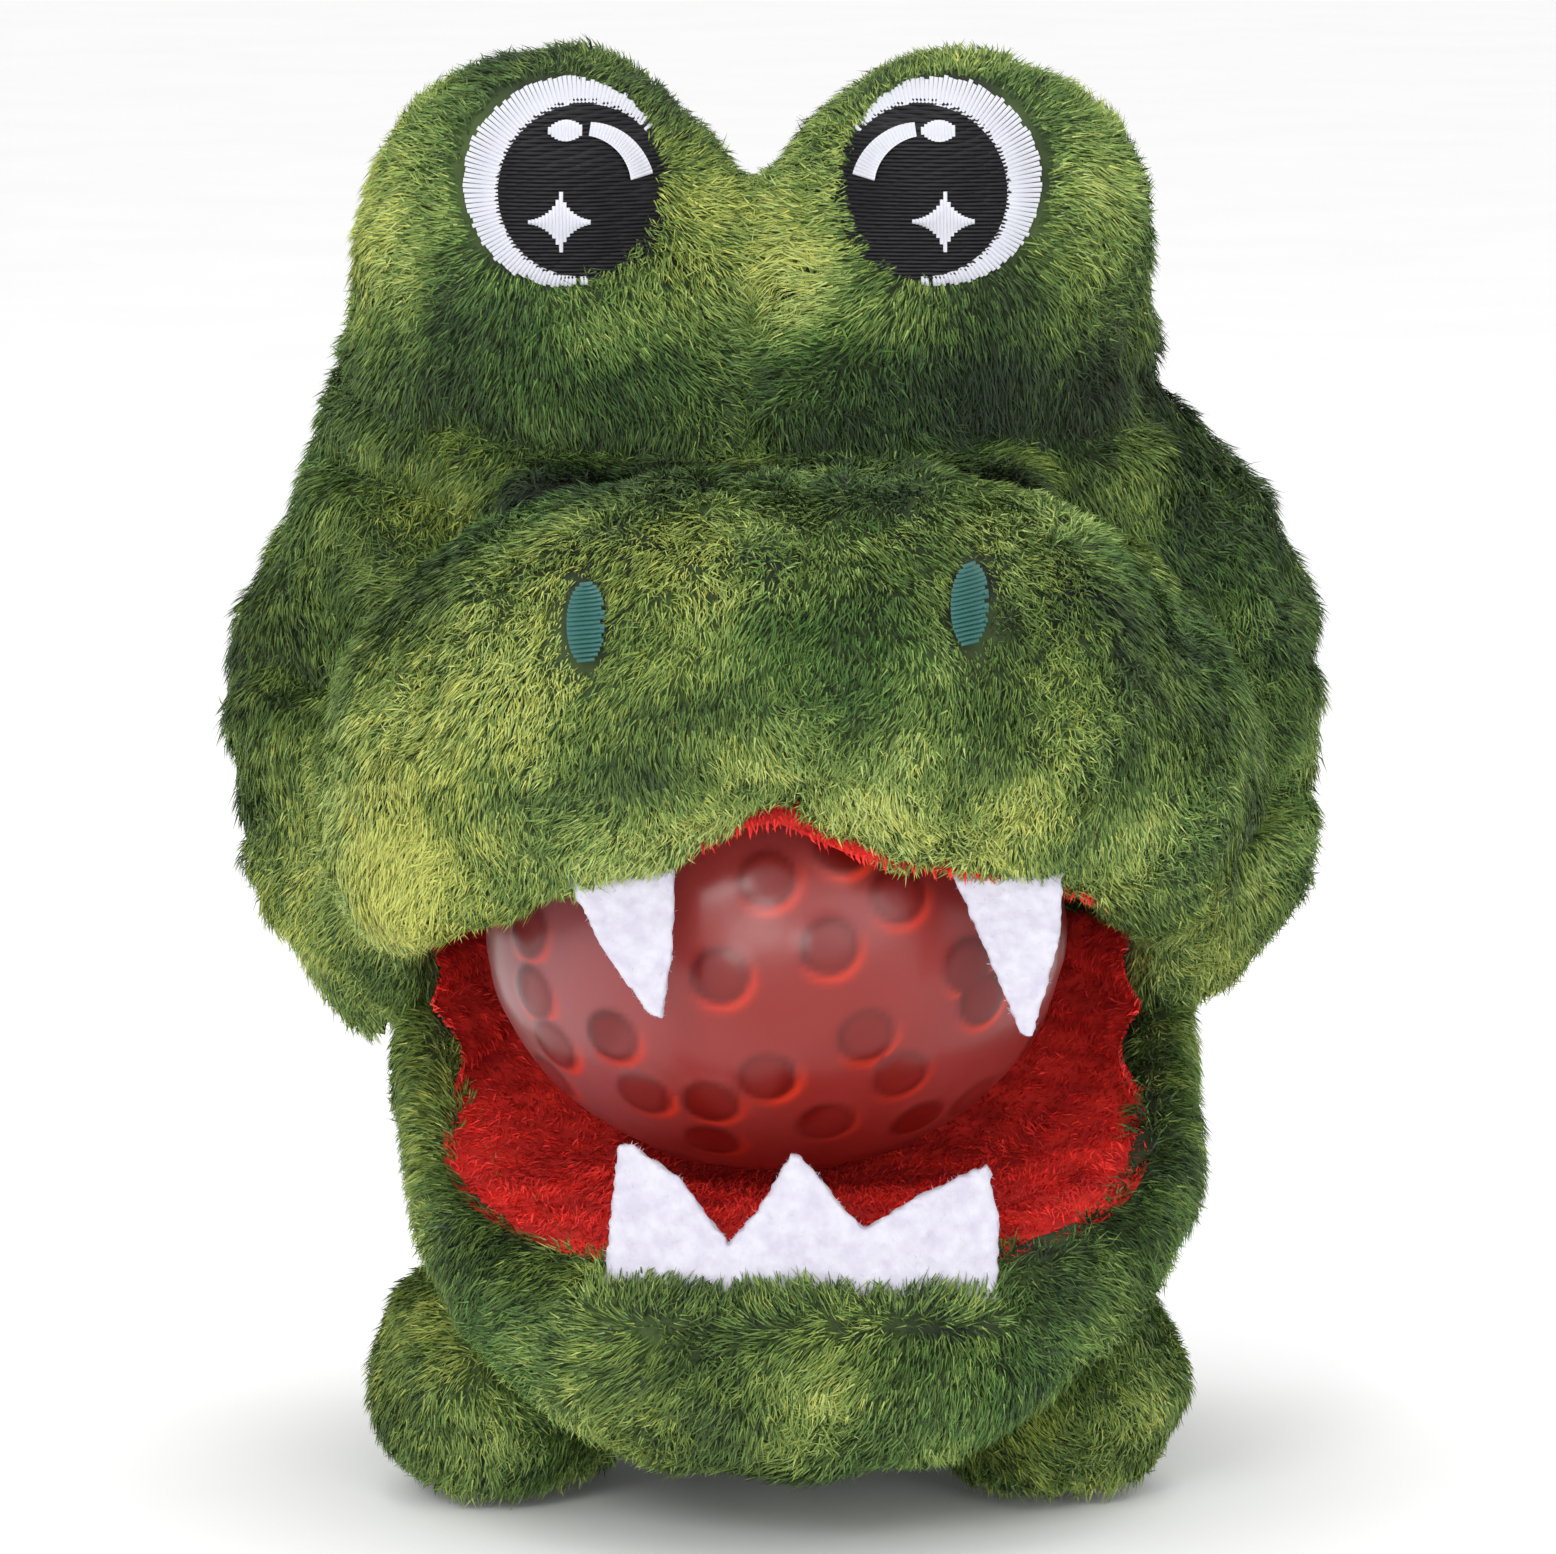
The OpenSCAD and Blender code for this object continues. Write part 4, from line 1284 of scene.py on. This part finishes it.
def ball_material():
    skin = principled("ball_skin", linear(140, 60, 60), 0.3, Subsurface_Weight=0.1, Subsurface_Scale=0.002,
                      Coat_Weight=0.15, Coat_Roughness=0.2, Specular_IOR_Level=0.35)
    shader = skin.node_tree.nodes["Principled BSDF"]
    shader.inputs["Subsurface Radius"].default_value = (1.0, 0.25, 0.2)
    # The tint attribute holds the ball's colours with their painted highlight, painted reflection, painted
    # shade and painted crescents of light.
    tint = node(skin, "ShaderNodeVertexColor", layer_name="tint")
    link(skin, tint.outputs["Color"], shader.inputs["Base Color"])
    noise = texture(skin, "ShaderNodeTexNoise", Scale=350.0, Detail=3.0)
    bumps(skin, noise.outputs["Fac"], 0.15, 0.25)
    return skin


def squashed(name, points, quads, material, replaced):
    """A piece of the ball that rides the ball's body, with a mesh of its own."""
    obj = quad_object(name, points, quads, [material])
    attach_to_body(obj, "ball")
    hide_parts(replaced)
    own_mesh(obj)
    return obj


def oval(centre, radii, across, up):
    return centre + sphere_directions(across, up) * radii, grid_quads(up, across, True)


def squeeze_ball():
    across, up = 260, 150
    d = sphere_directions(across, up)
    contacts = BALL + bead_directions() * BALL_R
    place = BALL + d * BALL_R
    nearest = np.min([np.linalg.norm(place - c, axis=1) for c in contacts], axis=0)
    place = place + d * (0.22 * (1 - ramp(nearest, 1.5, 4.0)))[:, None] - d * 0.2
    quads = grid_quads(up, across, True)
    obj = squashed("ball_shell", place, quads, ball_material(), "ball_skin")
    tint = obj.data.color_attributes.new("tint", "FLOAT_COLOR", "POINT")
    colours = np.concatenate([ball_colours(place, contacts), np.ones((len(place), 1))], 1)
    tint.data.foreach_set("color", colours.astype(np.float32).ravel())


WATER = speckled("ball_water", linear(120, 30, 26), linear(150, 52, 44), 6, 0.15)
BEAD = speckled("water_beads", linear(150, 12, 6), linear(196, 32, 16), 2, 0.1)
PLUG = speckled("ball_plug", linear(196, 178, 180), linear(226, 212, 213), 1, 0.4)


def ball_contents():
    """The water, the soft beads in two layers and the plug, all inside the skin."""
    points, quads = oval(BALL, BALL_R - 1.3, 90, 60)
    squashed("ball_water_body", points, quads, WATER, "ball_water")
    reach = BALL_R - 1.5 - BEAD_R
    outer = BALL + bead_directions() * reach
    inner = BALL + bead_directions()[::4] * reach * 0.5
    bead_points, bead_quads, first = [], [], 0
    for centre in np.concatenate([outer, inner]):
        points, quads = oval(centre, BEAD_R * 0.8, 16, 10)
        bead_points.append(points)
        bead_quads.append(quads + first)
        first += len(points)
    points, quads = np.concatenate(bead_points), np.concatenate(bead_quads)
    squashed("bead_fill", points, quads, BEAD, "water_beads")
    low, high = (np.array(corner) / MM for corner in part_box("ball_plug"))
    points, quads = oval((low + high) / 2, (high - low) / 2, 40, 20)
    squashed("plug_disc", points, quads, PLUG, "ball_plug")


squeeze_ball()
ball_contents()


# ---------- carried-over CAD parts ----------


SHOWN_MATERIALS = {
    "red_lining": LINING,
    "pocket_cloth": woven("pocket_cloth", linear(58, 76, 38), linear(84, 104, 56)),
    "label_tape": woven("label_tape", linear(196, 196, 190), linear(218, 218, 212), 0.6),
    "hem_tape": woven("hem_tape", linear(30, 42, 20), linear(52, 68, 32)),
}
slot_of = {part["node"]: part["material_slot"] for part in frame["record"]["subparts"]}
for cad_name, cad_object in frame["nodes"].items():
    if not cad_object.hide_render:
        cad_object.data.materials.clear()
        cad_object.data.materials.append(SHOWN_MATERIALS[slot_of[cad_name]])


# ---------- stage ----------


def stage_material():
    floor = principled("pale_floor", (0.95, 0.95, 0.95), 0.9)
    noise = mottle(floor, (0.94, 0.94, 0.94), (0.96, 0.96, 0.96), 60)
    bumps(floor, noise.outputs["Fac"], 0.2, 0.1)
    return floor


def stage():
    """A wide flat floor."""
    reach = 20000.0
    points = np.array([(-reach, -reach, 0), (reach, -reach, 0), (reach, reach, 0), (-reach, reach, 0)])
    quad_object("floor", points, [(0, 1, 2, 3)], [stage_material()])


def area_light(name, place, aim, size, power):
    light = bpy.data.lights.new(name, "AREA")
    light.shape = "DISK"
    light.size = size
    light.energy = power
    obj = bpy.data.objects.new(name, light)
    obj.location = place
    obj.rotation_euler = (Vector(aim) - Vector(place)).to_track_quat("-Z", "Y").to_euler()
    bpy.context.scene.collection.objects.link(obj)


def camera():
    """Straight on and a little from above."""
    elevation = math.radians(8)
    distance = 0.9
    target = Vector((0.0002, 0.0, 0.071))
    made = bpy.data.objects.new("camera", bpy.data.cameras.new("camera"))
    made.data.lens = 208.2
    made.data.sensor_width = 36.0
    back = Vector((0, -math.cos(elevation), math.sin(elevation)))
    made.location = target + back * distance
    made.rotation_euler = (-back).to_track_quat("-Z", "Y").to_euler()
    made.data.clip_end = 20
    bpy.context.scene.collection.objects.link(made)
    bpy.context.scene.camera = made


def world():
    bpy.context.scene.view_settings.view_transform = "Standard"
    sky = bpy.data.worlds.new("studio")
    sky.use_nodes = True
    sky.node_tree.nodes["Background"].inputs["Color"].default_value = (1, 1, 1, 1)
    sky.node_tree.nodes["Background"].inputs["Strength"].default_value = 1.0
    bpy.context.scene.world = sky


stage()
area_light("key", (-0.4, -1.0, 0.6), (0, 0, 0.07), 0.4, 3.6)
area_light("fill", (0.5, -1.0, 0.2), (0, 0, 0.06), 0.6, 2.0)
area_light("front", (-0.1, -1.1, 0.12), (0, 0, 0.05), 0.4, 2.6)
area_light("top", (0.0, 0.0, 1.0), (0, 0, 0.07), 0.8, 2.0)
world()
camera()
